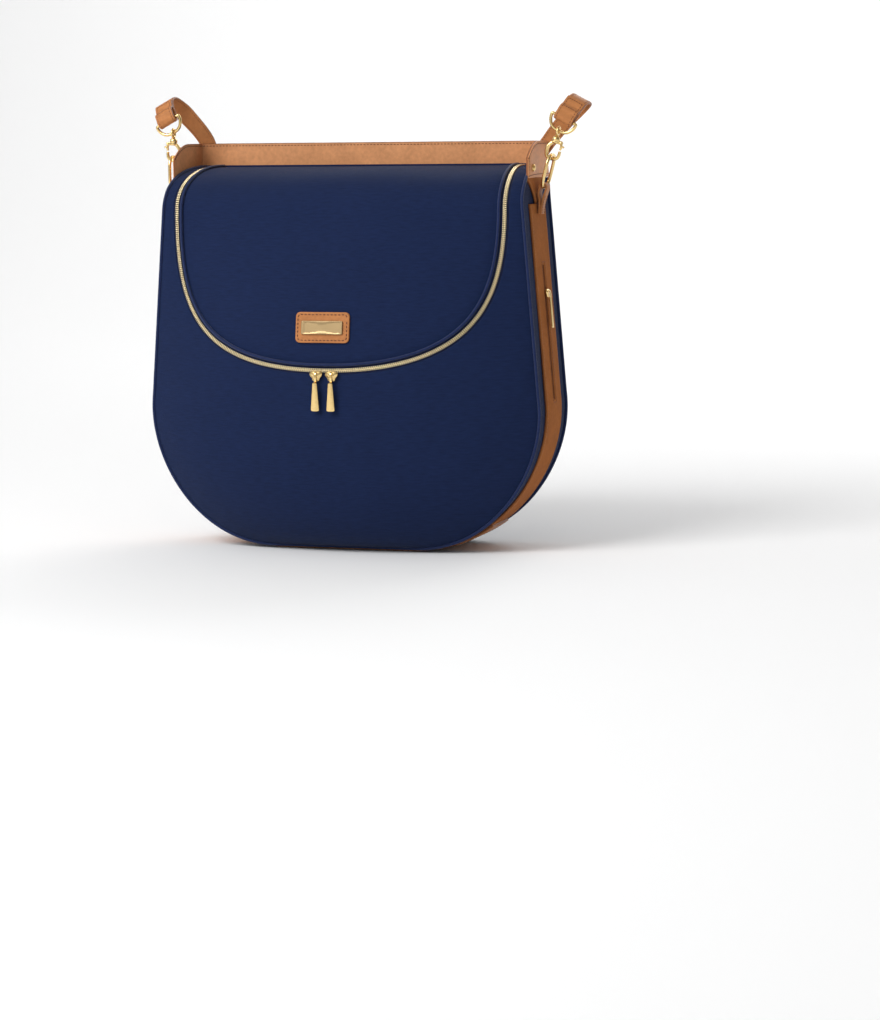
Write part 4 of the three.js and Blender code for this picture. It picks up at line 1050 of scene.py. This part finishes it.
def lathe(name, profile_points, at, axis, material, sides=28):
    """A turned piece: (radius, height) pairs round an axis."""
    axis = np.array(axis, float)
    helper = np.array([0, 0, 1.0]) if abs(axis[2]) < 0.9 else np.array([0, 1.0, 0])
    u = unit(np.cross(helper, axis))
    v = np.cross(axis, u)
    a = np.arange(sides) * 2 * np.pi / sides
    ring = np.cos(a)[:, None] * u + np.sin(a)[:, None] * v
    points = [np.array(at, float) + max(r, 1e-4) * ring + h * axis for r, h in profile_points]
    faces = grid_faces(len(points), sides, 0, True)
    faces += [tuple(range(sides)), tuple(range((len(points) - 1) * sides, len(points) * sides))]
    return make_object(name, np.vstack(points), faces, material)


# ---- the patch, the nameplate and the zip pulls ----
def flat_outline(width, height, corner, count):
    """A rounded rectangle as evenly spaced points, anticlockwise."""
    return even_path(rounded_bar(width, height, corner, 7), count, closed=True)


def on_front_plate(name, width, height, corner, low, high, edge_radius, material, edge=None, dish=0.0):
    """A rounded plate that follows the lid: rings from its edge to its middle."""
    loop = flat_outline(width, height, corner, 120)
    shares = 1 - np.array([0, 0.012, 0.03, 0.06, 0.1, 0.16, 0.25, 0.4, 0.6, 0.8, 1.0])
    flat = loop[None] * shares[:, None, None]
    distance = (1 - shares)[:, None] * np.linalg.norm(loop, axis=1)
    lift = high - rolled(distance, edge_radius) - dish * np.clip((distance - 2.2) / 0.5, 0, 1)
    x, run = flat[..., 0] + PATCH[0], flat[..., 1] + PATCH[1]
    return sheet(name, front_point(x, run, lift), high - low, material, flat, closed=True,
                 normals=front_normal(x, run), edge=edge)


def patch_and_plate():
    patch = on_front_plate("patch_leather", 56, 30, 4.5, 0.1, 2.4, 0.8, tan, tan_edge)
    place(patch, "lid", "tan_leather", "patch")
    loop = flat_outline(51, 25, 3, 240)
    loop = np.vstack([loop, loop[:1]])
    loop = loop + PATCH
    path = on_front(loop, 2.35)
    thread = stitches("patch_stitches", path, front_ups(loop), thread_dark, 3.9, 2.7, 0.55)
    place(thread, "lid", "tan_leather")
    plate = on_front_plate("nameplate_metal", 43, 13, 0.8, 2.3, 4.0, 0.35, gold_plate, dish=0.35)
    place(plate, "lid", "gold_metal", "nameplate")


def outline_plate(outline, thickness, bevel):
    """Points and faces of a flat plate in the XZ plane with rounded edges, from its outline."""
    build = bmesh.new()
    verts = [build.verts.new((x, -thickness / 2, z)) for x, z in outline]
    edges = [build.edges.new((a, b)) for a, b in zip(verts, verts[1:] + verts[:1])]
    made = bmesh.ops.triangle_fill(build, use_beauty=True, edges=edges)
    faces = [f for f in made["geom"] if isinstance(f, bmesh.types.BMFace)]
    raised = bmesh.ops.extrude_face_region(build, geom=faces)
    top = [v for v in raised["geom"] if isinstance(v, bmesh.types.BMVert)]
    bmesh.ops.translate(build, vec=(0, thickness, 0), verts=top)
    bmesh.ops.recalc_face_normals(build, faces=build.faces)
    sharp = [e for e in build.edges if len(e.link_faces) == 2 and e.calc_face_angle(0) > 0.9
             and abs(e.verts[0].co.y - e.verts[1].co.y) < 1e-4]
    bmesh.ops.bevel(build, geom=sharp, offset=bevel, segments=3, affect="EDGES", clamp_overlap=True)
    build.verts.index_update()
    return template_from(build)


def moved(points, at, turn=None, scale=(1, 1, 1)):
    points = np.asarray(points) * scale
    if turn is not None:
        points = points @ np.array(turn).T
    return points + at


def zip_pull(name, size, at, turn, body, node):
    """A roof-shaped metal pull: two facets that meet in a ridge, widening to a square foot."""
    length, top_width, end_width, thickness = size
    down = np.array([2.4, 2.1, 1.2, 0, -2, -length * 0.3, -length * 0.6,
                     -length + 1.6, -length + 0.5, -length])
    half = np.interp(-down, [-2.4, -1.2, length], [0.62 * top_width / 2, top_width / 2, end_width / 2])
    squeeze = np.array([0.5, 0.85, 1, 1, 1, 1, 1, 1, 0.9, 0.6])
    back, brim, ridge = thickness / 2, -thickness / 2 + 0.9, -thickness / 2
    facet = (brim + ridge) / 2 - 0.15
    section = [(-1, brim), (-0.93, brim - 0.2), (-0.5, facet), (-0.06, ridge),
               (0.06, ridge), (0.5, facet), (0.93, brim - 0.2), (1, brim),
               (1, back - 0.3), (0.9, back), (-0.9, back), (-1, back - 0.3)]
    rings = np.array([[(x * w * s, y * s, z) for x, y in section] for z, w, s in zip(down, half, squeeze)])
    faces = grid_faces(len(rings), len(section), 0, True)
    last = len(section) * (len(rings) - 1)
    faces += [tuple(range(len(section))), tuple(range(last, last + len(section)))]
    piece = make_object(name, moved(rings.reshape(-1, 3), at, turn), faces, gold, smooth=False)
    return place(piece, body, "gold_metal", node)


def zip_slider(name, at, turn, scale, body, node):
    """A slider: a waisted body with a raised bridge that carries the pull."""
    half = [(0, 0.3), (3.6, 0.2), (5.6, -0.8), (6.4, -2.8), (5.6, -5),
            (3.9, -7), (3.4, -8.8), (2.4, -9.6), (0, -9.8)]
    right = smooth_curve(half, 40)
    outline = np.vstack([right, (right * [-1, 1])[::-1][1:-1]])
    points, faces = outline_plate(outline, 3.2, 0.8)
    points[:, 1] -= 1.6
    pieces = [make_object(name, moved(points, at, turn, scale), faces, gold)]
    bridge = smooth_curve([(0, -2.6, -1.2), (0, -4.6, -2.2), (0, -5.4, -5),
                           (0, -5.4, -8.4), (0, -4.8, -10.6), (0, -3.0, -10.8)], 30)
    flat_side = np.array(turn) @ [0.0, 0.55, -0.83]
    pieces.append(sweep(f"{name}_bridge", moved(bridge, at, turn, scale), rounded_bar(2.6, 1.1, 0.5), gold,
                        up=np.tile(flat_side, (30, 1))))
    return place(join(name, pieces), body, "gold_metal", node)


def zip_sliders():
    upright = np.identity(3)
    for side, name in SIDES:
        x = side * SLIDER_X
        surface = float(front_point(np.float64(x), np.float64(SLIDER_RUN - 5))[1])
        zip_slider(f"slider_metal_{name}", np.array([x, surface - 1.0, SLIDER_RUN]), upright, (1, 0.8, 1),
                   f"slider_{name}", f"slider_{name}")
        zip_pull(f"pull_metal_{name}", PULL, np.array([x, surface - 7.0, PULL_RUN]), upright,
                 f"pull_{name}", f"pull_{name}")


def side_sliders(side, name):
    z = SIDE_SLIDER_HEIGHT
    slope = math.atan((half_width(z + 40) - half_width(z - 40)) / 80)
    quarter = np.array(Matrix.Rotation(math.pi / 2 * side, 3, "Z"))
    lean = np.array(Matrix.Rotation(side * slope, 3, "Y"))
    turn = lean @ quarter
    at = np.array([side * (float(half_width(z)) + LEATHER + 1.2), 0, z])
    zip_slider(f"side_slider_metal_{name}", at, turn, (0.72, 0.8, 0.8),
               f"side_slider_{name}", f"side_slider_{name}")
    hang = at + lean @ np.array([side * (3.6 * 0.8 + 1.4), 0, -9.5 * 0.8 - 2.8])
    zip_pull(f"side_pull_metal_{name}", SIDE_PULL, hang, turn, f"side_pull_{name}", f"side_pull_{name}")


# ---- rings, hooks and stroller straps ----
def leaned(points, side, name):
    """Points of the clipped chain, leaned outwards about the ring's lower bar."""
    pivot = np.array([side * RING_X, 0, RING_LOW_BAR])
    turn = np.array(Matrix.Rotation(side * HOOK_LEAN[name], 3, "Y"))
    return (np.asarray(points, float) - pivot) @ turn.T + pivot


def strap_top(name):
    """The middle of the D-ring's upper bar: its distance out and its height."""
    lean = HOOK_LEAN[name]
    reach = D_RING_TOP - RING_LOW_BAR
    return (RING_X + reach * math.sin(lean) + D_RING_DROP * math.sin(STRAP_TILT),
            RING_LOW_BAR + reach * math.cos(lean) + D_RING_DROP * math.cos(STRAP_TILT))


def rings(side, name):
    x = side * RING_X
    oval = [(x, a * RING_WIDTH, RING_LOW_BAR + b * RING_HEIGHT) for a, b in (
        (0, 0), (0.3, 0.03), (0.47, 0.2), (0.5, 0.5), (0.47, 0.8), (0.3, 0.97),
        (0, 1), (-0.3, 0.97), (-0.47, 0.8), (-0.5, 0.5), (-0.47, 0.2), (-0.3, 0.03))]
    path = leaned(smooth_curve(oval, 110, True), side, name)
    ring = tube(f"oval_ring_metal_{name}", path, RING_BAR_RADIUS, gold, True, 20)
    place(ring, f"oval_ring_{name}", "gold_metal", f"oval_ring_{name}")
    half, drop = D_RING_HALF_WIDTH, D_RING_DROP
    right = [(half * 0.4, 0.05), (half - 1.2, 0), (half - 0.1, -1.4), (half * 0.93, -drop * 0.45),
             (half * 0.68, -drop * 0.82), (half * 0.3, -drop)]
    shape = [(1.2 - half, 0), (-half * 0.4, 0.05)] + right + [(-a, b) for a, b in right[:1:-1]]
    flat = smooth_curve(shape, 120, True)
    turn = np.array(Matrix.Rotation(side * STRAP_TILT, 3, "Y"))
    top_x, top_z = strap_top(name)
    path = np.stack([flat[:, 0], 0 * flat[:, 0], flat[:, 1]], -1) @ turn.T + [side * top_x, 0, top_z]
    ring = tube(f"d_ring_metal_{name}", path, D_RING_BAR_RADIUS, gold, True, 18)
    place(ring, f"d_ring_{name}", "gold_metal", f"d_ring_{name}")


def hook_base(side, name):
    """Where the hook's barrel starts, and the direction of its stem."""
    axis = np.array(Matrix.Rotation(side * HOOK_LEAN[name], 3, "Y")) @ [0, 0, 1.0]
    return leaned([[side * RING_X, 0, BARREL_BASE]], side, name)[0], axis


def swivel_eye(side, name):
    x = side * RING_X
    base, axis = hook_base(side, name)
    angles = np.linspace(0, 2 * np.pi, 48, endpoint=False)
    across, up = EYE_RADIUS * np.sin(angles), EYE_RADIUS * np.cos(angles)
    eye = np.stack([x + 0 * angles, across, EYE_HEIGHT + up], -1)
    pieces = [tube("eye_loop", leaned(eye, side, name), 1.25, gold, True, 14)]
    stem = [(0, 2.2), (1.25, 2.2), (1.25, 7.4), (1.9, 7.8), (1.9, 8.6), (1.3, 9.2), (0, 9.4)]
    pieces.append(lathe("eye_stem", stem, base, axis, gold, 20))
    eye = join(f"swivel_eye_metal_{name}", pieces)
    place(eye, f"swivel_eye_{name}", "gold_metal", f"swivel_eye_{name}")


def hook(side, name):
    """A turned barrel, a bent hook that tapers to its tip, and two lugs for the gate."""
    x = side * RING_X
    base, axis = hook_base(side, name)
    barrel = [(0, 0.2), (2.4, 0.2), (3.3, 0.7), (3.75, 1.8), (3.5, 2.5), (3.5, 3.1), (3.8, 3.6), (3.8, 5.2),
              (3.5, 5.8), (3.1, 6.8), (2.6, 7.2), (1.6, 7.25), (1.6, 3.0), (0, 3.0)]
    pieces = [lathe("hook_barrel", barrel, base, axis, gold, 28)]
    low = RING_LOW_BAR + RING_HEIGHT - RING_BAR_RADIUS - 1.8 - GAP
    bend = [(-1.0, 402.4), (-3.6, 400.6), (-6.0, 397.2), (-6.8, 392.6), (-5.6, low + 2.2),
            (-2.6, low + 0.2), (0, low), (2.8, low + 0.3), (5.6, low + 2.2), (6.6, 391.0), (6.5, 394.4)]
    route = smooth_curve([(x + side * a, 0, z) for a, z in bend], 90)
    share = np.linspace(0, 1, 90)
    thick = 1 + 0.2 * np.sin(np.pi * np.clip(share * 1.5, 0, 1))
    thick = thick - 0.12 * np.clip((share - 0.85) / 0.15, 0, 1)
    pieces.append(sweep("hook_bend", leaned(route, side, name), disc(1.65, 18), gold, scale=thick))
    for y in (1.7, -1.75):
        lug = [(x + side * 2.6, y, 402.6), (x + side * 4.6, y, 402.7), (x + side * 6.9, y, 402.4)]
        route = leaned(smooth_curve(lug, 12), side, name)
        pieces.append(sweep("hook_lug", route, rounded_bar(1.1, 3.4, 0.5), gold, up=np.tile(axis, (12, 1))))
    place(join(f"hook_metal_{name}", pieces), f"hook_{name}", "gold_metal", f"hook_{name}")


def hook_gate(side, name):
    """The sprung gate with its thumb tab, and the pin it turns on."""
    x = side * RING_X
    gate = [(x + side * out, 0, z) for out, z in ((6.0, 403.6), (6.5, 401.0), (6.9, 398.4), (6.5, 395.6))]
    route = leaned(smooth_curve(gate, 26), side, name)
    share = np.linspace(0, 1, 26)
    pieces = [sweep("gate_bar", route, rounded_bar(2.4, 2.3, 0.8), gold, up=np.tile([0, 1.0, 0], (26, 1)),
                    scale=0.8 + 0.25 * np.sin(np.pi * share))]
    thumb = [(x + side * 7.2, 0, 399.6), (x + side * 8.6, 0, 399.2), (x + side * 9.9, 0, 399.6)]
    pieces.append(sweep("gate_thumb", leaned(smooth_curve(thumb, 14), side, name), disc(1.05, 14), gold,
                        scale=np.concatenate([np.full(8, 0.75), np.linspace(0.8, 1.15, 4), [1.0, 0.6]])))
    place(join(f"gate_metal_{name}", pieces), f"gate_{name}", "gold_metal", f"gate_{name}")

    pivot = leaned([[x + side * GATE_PIVOT[0], -2.7, GATE_PIVOT[1]]], side, name)[0]
    pin = [(0, 0), (1.1, 0.0), (1.35, 0.35), (0.8, 0.6), (0.8, 4.8), (1.35, 5.0), (1.1, 5.4), (0, 5.4)]
    pin = lathe(f"gate_pin_metal_{name}", pin, pivot, (0, 1, 0), gold, 16)
    place(pin, f"hook_{name}", "gold_metal", f"gate_pin_{name}")


def strap_route(name):
    """The stroller strap's middle line in (y, z), as evenly spaced points, and its D-ring bar's height."""
    bar = strap_top(name)[1]
    grip_z = bar + GRIP_RISE
    half = STRAP_THICKNESS / 2
    rear = SEAM_DEPTH + GAP + BAND_THICKNESS + GAP + half
    near, far = GRIP_RADIUS + half, GRIP_RADIUS + half + STRAP_THICKNESS + GAP

    def around(radius, degrees):
        a = math.radians(degrees)
        return GRIP_DEPTH + radius * math.cos(a), grip_z + radius * math.sin(a)

    fold = D_RING_BAR_RADIUS + 0.5 + half
    turn = [(fold * math.cos(a), bar - fold * math.sin(a)) for a in np.linspace(0, np.pi, 5)]
    route = [(rear, 383), (rear, 398), (rear, grip_z - 18)]
    route += [around(near, a) for a in (0, 30, 60, 90, 120, 150, 175)]
    route += turn + [(-fold, bar + 2.5), (-fold * 0.45, bar + 6), (fold * 0.15, bar + 10)]
    route += [around(far, a) for a in (150, 138, 126)]
    return smooth_curve(route, 260), bar


def stroller_strap(side, name):
    route, bar = strap_route(name)
    count = len(route)
    tangent = unit(np.gradient(route, axis=0))
    run = path_length(route)
    share = run / run[-1]
    inward = np.maximum(0, 1 - share / 0.45) ** 1.5
    middle = strap_top(name)[0]
    x = middle + (STUD[0] - middle) * inward
    width = STRAP_WIDTH - (STRAP_WIDTH - STRAP_REAR_WIDTH) * inward
    tilt = STRAP_TILT * (1 - inward)
    start = np.clip(run / 7, 0, 1)
    tongue = np.sqrt(np.maximum(1 - (1 - start) ** 2, 0.02))

    def bent(index, across, lift):
        """A point of the strap: across its width and lifted off its middle."""
        y = route[index, 0] - tangent[index, 1] * lift
        z = route[index, 1] + tangent[index, 0] * lift
        above = z - bar
        reach = across * width[index] * tongue[index]
        return np.stack([side * (x[index] + above * np.sin(tilt[index])) + reach * np.cos(tilt[index]), y,
                         bar + above * np.cos(tilt[index]) - side * reach * np.sin(tilt[index])], -1)

    corners = rounded_bar(STRAP_WIDTH, STRAP_THICKNESS, 0.7, 5) * [1 / STRAP_WIDTH, 1]
    face = np.linspace(0.4, -0.4, 9)
    section = np.vstack([corners[:5], np.stack([face, 1.1 + 0 * face], -1), corners[5:15],
                         np.stack([-face, -1.1 + 0 * face], -1), corners[15:]])
    index = np.arange(count)
    wave = 0.12 * np.sin(run / 9.0 + side)
    rows = [bent(index, s + 0 * run, b + wave * (1 - (2 * s) ** 2)) for s, b in section]
    points = np.stack(rows, 1)
    m = len(section)
    faces = grid_faces(count, m, 0, True) + [tuple(range(m)), tuple(range((count - 1) * m, count * m))]
    uv = np.stack(np.meshgrid(path_length(section * [STRAP_WIDTH, 1]), run), -1).reshape(-1, 2)
    strap = make_object(f"stroller_strap_leather_{name}", points.reshape(-1, 3), faces, tan, uv)
    strap.data.materials.append(tan_edge)
    edge = {i for i in range(m) if abs(section[i][0]) > 0.475 and abs(section[(i + 1) % m][0]) > 0.475}
    for i, polygon in enumerate(strap.data.polygons):
        if i < (count - 1) * m and i % m in edge:
            polygon.material_index = 1
    place(strap, "bag", "tan_leather", f"stroller_strap_{name}")

    rows = []
    for lift, outward in ((1.12, 1), (-1.12, -1)):
        for across in (-0.38, 0.38):
            keep = index[(run > 5) & (run < run[-1] - 2)]
            path = bent(keep, across + 0 * run[keep], lift + 0 * run[keep])
            ups = bent(keep, across + 0 * run[keep], lift + outward + 0 * run[keep]) - path
            rows.append(stitches("strap_thread", path, ups, thread_dark, 3.0, lift=0.02))
    for from_end in (3.0, 16.0):
        at = int(np.searchsorted(run, run[-1] - from_end))
        across = np.linspace(-0.38, 0.38, 20)
        same = np.full(20, at)
        path = bent(same, across, 1.14 + 0 * across)
        ups = bent(same, across, 2.14 + 0 * across) - path
        rows.append(stitches("strap_thread", path, ups, thread_dark, 2.6))
    place(join(f"strap_stitches_{name}", rows), "bag", "tan_leather")


def strap_stud(side, name):
    """The turned stud that the strap buttons on."""
    at = (side * STUD[0], SEAM_DEPTH + GAP + BAND_THICKNESS + GAP, STUD[1])
    stud = [(0, 0), (1.5, 0), (1.5, 2.6), (3.9, 2.7), (4.1, 3.1), (3.6, 3.5), (2.0, 4.1),
            (2.0, 5.0), (3.0, 5.8), (3.3, 6.9), (2.9, 8.0), (1.8, 8.9), (0, 9.2)]
    stud = lathe(f"strap_stud_metal_{name}", stud, at, (0, 1, 0), gold, 24)
    place(stud, "bag", "gold_metal", f"strap_stud_{name}")


# ---- the inside ----
def mouth_height(x):
    """The height of the zip's line at each x: the lining's front stops just outside it."""
    line = beside_zip(TAPE + 2)
    half = line[line[:, 0] >= 0]
    half = half[half[:, 1] < ZIP_SIDE_TOP]
    return np.interp(np.abs(x), half[:, 0], half[:, 1], right=LINING_RIM)


LINING_FLOOR, LINING_RIM = 20.2, 330


def main_lining():
    """The lining hangs a little slack inside the bag, its front cut away along the zip."""
    inset = 5.2
    across = np.concatenate([[-1, -0.99, -0.97], np.linspace(-0.94, 0.94, 60), [0.97, 0.99, 1]])
    share = np.concatenate([[0, 0.002, 0.006, 0.016], np.linspace(0.035, 0.965, 42), [0.98, 0.99, 1]])
    walls = []
    for sign in (-1, 1):
        half_top = float(half_width(LINING_RIM)) - inset
        rim = mouth_height(across * half_top) - 1 if sign < 0 else LINING_RIM + 0 * across
        z = LINING_FLOOR + (rim - LINING_FLOOR) * share[:, None]
        x = -sign * across * (half_width(z) - inset)
        swell = FRONT_BULGE * belly(z) + TOP_BULGE * z / BAG_HEIGHT if sign < 0 else (
            BACK_BULGE * belly(np.clip(z * BAG_HEIGHT / BACK_TOP, 0, BAG_HEIGHT)))
        rounding = 1 - np.abs(across) ** BULGE_POWER
        gather = 1.1 * np.abs(np.sin(across * 31 + z / 60) * np.sin(z / 70 + across * 3)) * rounding
        y = sign * (SEAM_DEPTH - inset + swell * rounding * 0.985 - gather)
        walls.append(np.stack([x, y, z], -1))
    walls = np.concatenate(walls, 1)
    middle = walls[0].mean(0)
    floor = np.stack([middle + (walls[0] - middle) * s - [0, 0, 0.2] for s in (0.0, 0.3, 0.6, 0.85, 0.97)])
    points = np.vstack([floor, walls])
    uv = np.stack(np.meshgrid(path_length(walls[20]), path_length(points[:, 100])), -1)
    piece = sheet("lining_cloth_main", points, -LINING, lining_cloth, uv, closed=True)
    place(piece, "bag", "lining_cloth", "main_lining")


def inner_pocket():
    """A patch pocket sewn to the back of the lining, with a hem along its open top."""
    x = np.concatenate([[-105, -104.6, -104], np.linspace(-100, 100, 60), [104, 104.6, 105]])
    z = np.concatenate([[125, 125.4, 126], np.linspace(129, 262, 40), [264.8, 265.2, 268, 272, 274.4, 275]])
    xx, zz = np.meshgrid(x, z)
    slack = np.clip((zz - 125) / 150, 0, 1) * (1 - (xx / 105) ** 2)
    hem = 0.5 * (zz > 265)
    y = 41.4 - 5.0 * slack - 0.5 * np.sin(xx / 13) * np.clip((zz - 150) / 120, 0, 1) - hem
    z_sag = zz - 3.0 * np.clip((zz - 200) / 75, 0, 1) * (1 - (xx / 105) ** 2)
    points = np.stack([xx, y, z_sag], -1)
    uv = np.stack([xx, zz], -1)
    piece = sheet("inner_pocket_cloth", points, -1.1, lining_cloth, uv)
    place(piece, "bag", "lining_cloth", "inner_pocket")
    row = 43
    path = np.stack([x, y[row] - 0.6, z_sag[row]], -1)
    thread = stitches("inner_pocket_stitches", path, np.tile([0.0, -1, 0], (len(x), 1)), thread_navy, 3.2)
    place(thread, "bag", "lining_cloth")


def base_board():
    points, faces = block_shape((2 * BASE_HALF_WIDTH, 84, 2.4), 0.6)
    piece = make_object("base_board_sheet", points + [0, 0, PANEL + 1.5], faces, board, None, False)
    place(piece, "bag", "base_board", "base_board")


# ---- camera, floor and light ----
def camera():
    """Set to the photograph's place: turned 17.7 degrees to the bag's right and 7.5 degrees above it."""
    azimuth, elevation, roll = (math.radians(a) for a in (17.74, 7.50, -0.67))
    distance, lens = 3.0, 121.127727
    ahead = np.array([-math.sin(azimuth) * math.cos(elevation), math.cos(azimuth) * math.cos(elevation),
                      -math.sin(elevation)])
    right = np.array([math.cos(azimuth), math.sin(azimuth), 0])
    up = np.cross(right, ahead)
    target = np.array([0, 0, 0.2]) + right * 0.0809 + up * -0.1653
    right, up = (right * math.cos(roll) + up * math.sin(roll), up * math.cos(roll) - right * math.sin(roll))
    data = bpy.data.cameras.new("camera")
    data.sensor_fit = "HORIZONTAL"
    data.sensor_width = 36
    data.lens = lens
    made = bpy.data.objects.new("camera", data)
    bpy.context.scene.collection.objects.link(made)
    turn = Matrix((right, up, -ahead)).transposed().to_4x4()
    made.matrix_world = Matrix.Translation(target - ahead * distance) @ turn
    bpy.context.scene.camera = made


def area_light(name, at, aim, size, power, colour=(1, 1, 1)):
    data = bpy.data.lights.new(name, "AREA")
    data.shape = "RECTANGLE"
    data.size, data.size_y = size
    data.energy = power
    data.color = colour
    made = bpy.data.objects.new(name, data)
    bpy.context.scene.collection.objects.link(made)
    made.location = at
    made.rotation_euler = (Vector(aim) - Vector(at)).to_track_quat("-Z", "Y").to_euler()


def backdrop():
    """A floor that sweeps up into a wall far behind the bag."""
    radius, wall, top, half = 2.5, 5.5, 9, 14
    turn = np.radians(np.linspace(0, 90, 25))
    bend = [(wall - radius + radius * math.sin(a), radius - radius * math.cos(a)) for a in turn]
    line = [(-12, 0)] + bend + [(wall, top)]
    mesh = bpy.data.meshes.new("floor")
    points = [(x, y, z) for y, z in line for x in (-half, half)]
    mesh.from_pydata(points, [], [(2 * i, 2 * i + 1, 2 * i + 3, 2 * i + 2) for i in range(len(line) - 1)])
    mesh.polygons.foreach_set("use_smooth", [True] * len(mesh.polygons))
    floor = bpy.data.objects.new("floor", mesh)
    bpy.context.scene.collection.objects.link(floor)
    mesh.materials.append(new_material("floor", (0.94, 0.94, 0.94), 0.9)[0])


def soft_room(bright, dark):
    """Even light from everywhere but the right, where it falls off, so that the side is in shade."""
    world = bpy.data.worlds.new("studio")
    bpy.context.scene.world = world
    world.use_nodes = True
    nodes, links = world.node_tree.nodes, world.node_tree.links
    sky = nodes["Background"]
    direction = nodes.new("ShaderNodeTexCoord").outputs["Generated"]
    split = nodes.new("ShaderNodeSeparateXYZ")
    links.new(direction, split.inputs[0])
    fall = nodes.new("ShaderNodeMapRange")
    fall.interpolation_type = "SMOOTHSTEP"
    for socket, value in (("From Min", 0.1), ("From Max", 0.8), ("To Min", bright), ("To Max", dark)):
        fall.inputs[socket].default_value = value
    links.new(split.outputs[0], fall.inputs["Value"])
    links.new(fall.outputs[0], sky.inputs["Strength"])
    sky.inputs["Color"].default_value = (1, 1, 1, 1)


def studio():
    backdrop()
    soft_room(0.6, 0.15)
    area_light("key", (-1.2, -2.1, 2.1), (0, 0, 0.2), (1.6, 1.6), 66)
    area_light("fill", (2.2, -1.6, 1.0), (0, 0, 0.25), (1.4, 1.8), 1)
    area_light("rim", (0.6, 2.2, 1.8), (0, 0, 0.25), (1.6, 1.2), 16)
    area_light("wall light", (0, 2.6, 3.4), (0, 5.5, 1.2), (5, 0.8), 85)
    bpy.context.scene.view_settings.view_transform = "Standard"


camera()
studio()


# ---- build ----
front_panel()
lid_panel()
lid_lining()
zip_band()
lid_piping()
gusset()
back_panel()
seam_cord("front_piping_cord", -SEAM_DEPTH + 0.2, FRONT_RUN, "front_piping", True)
seam_cord("back_piping_cord", SEAM_DEPTH - 0.2, BAND_LOW - 0.6, "back_piping", False)
base_panel()
top_band()
patch_and_plate()
zip_sliders()
for side, name in SIDES:
    side_strip(side, name)
    side_zip(side, name)
    yoke(side, name)
    ring_tab(side, name)
    rivet(side, name)
    side_sliders(side, name)
    rings(side, name)
    swivel_eye(side, name)
    hook(side, name)
    hook_gate(side, name)
    stroller_strap(side, name)
    strap_stud(side, name)
main_lining()
inner_pocket()
base_board()
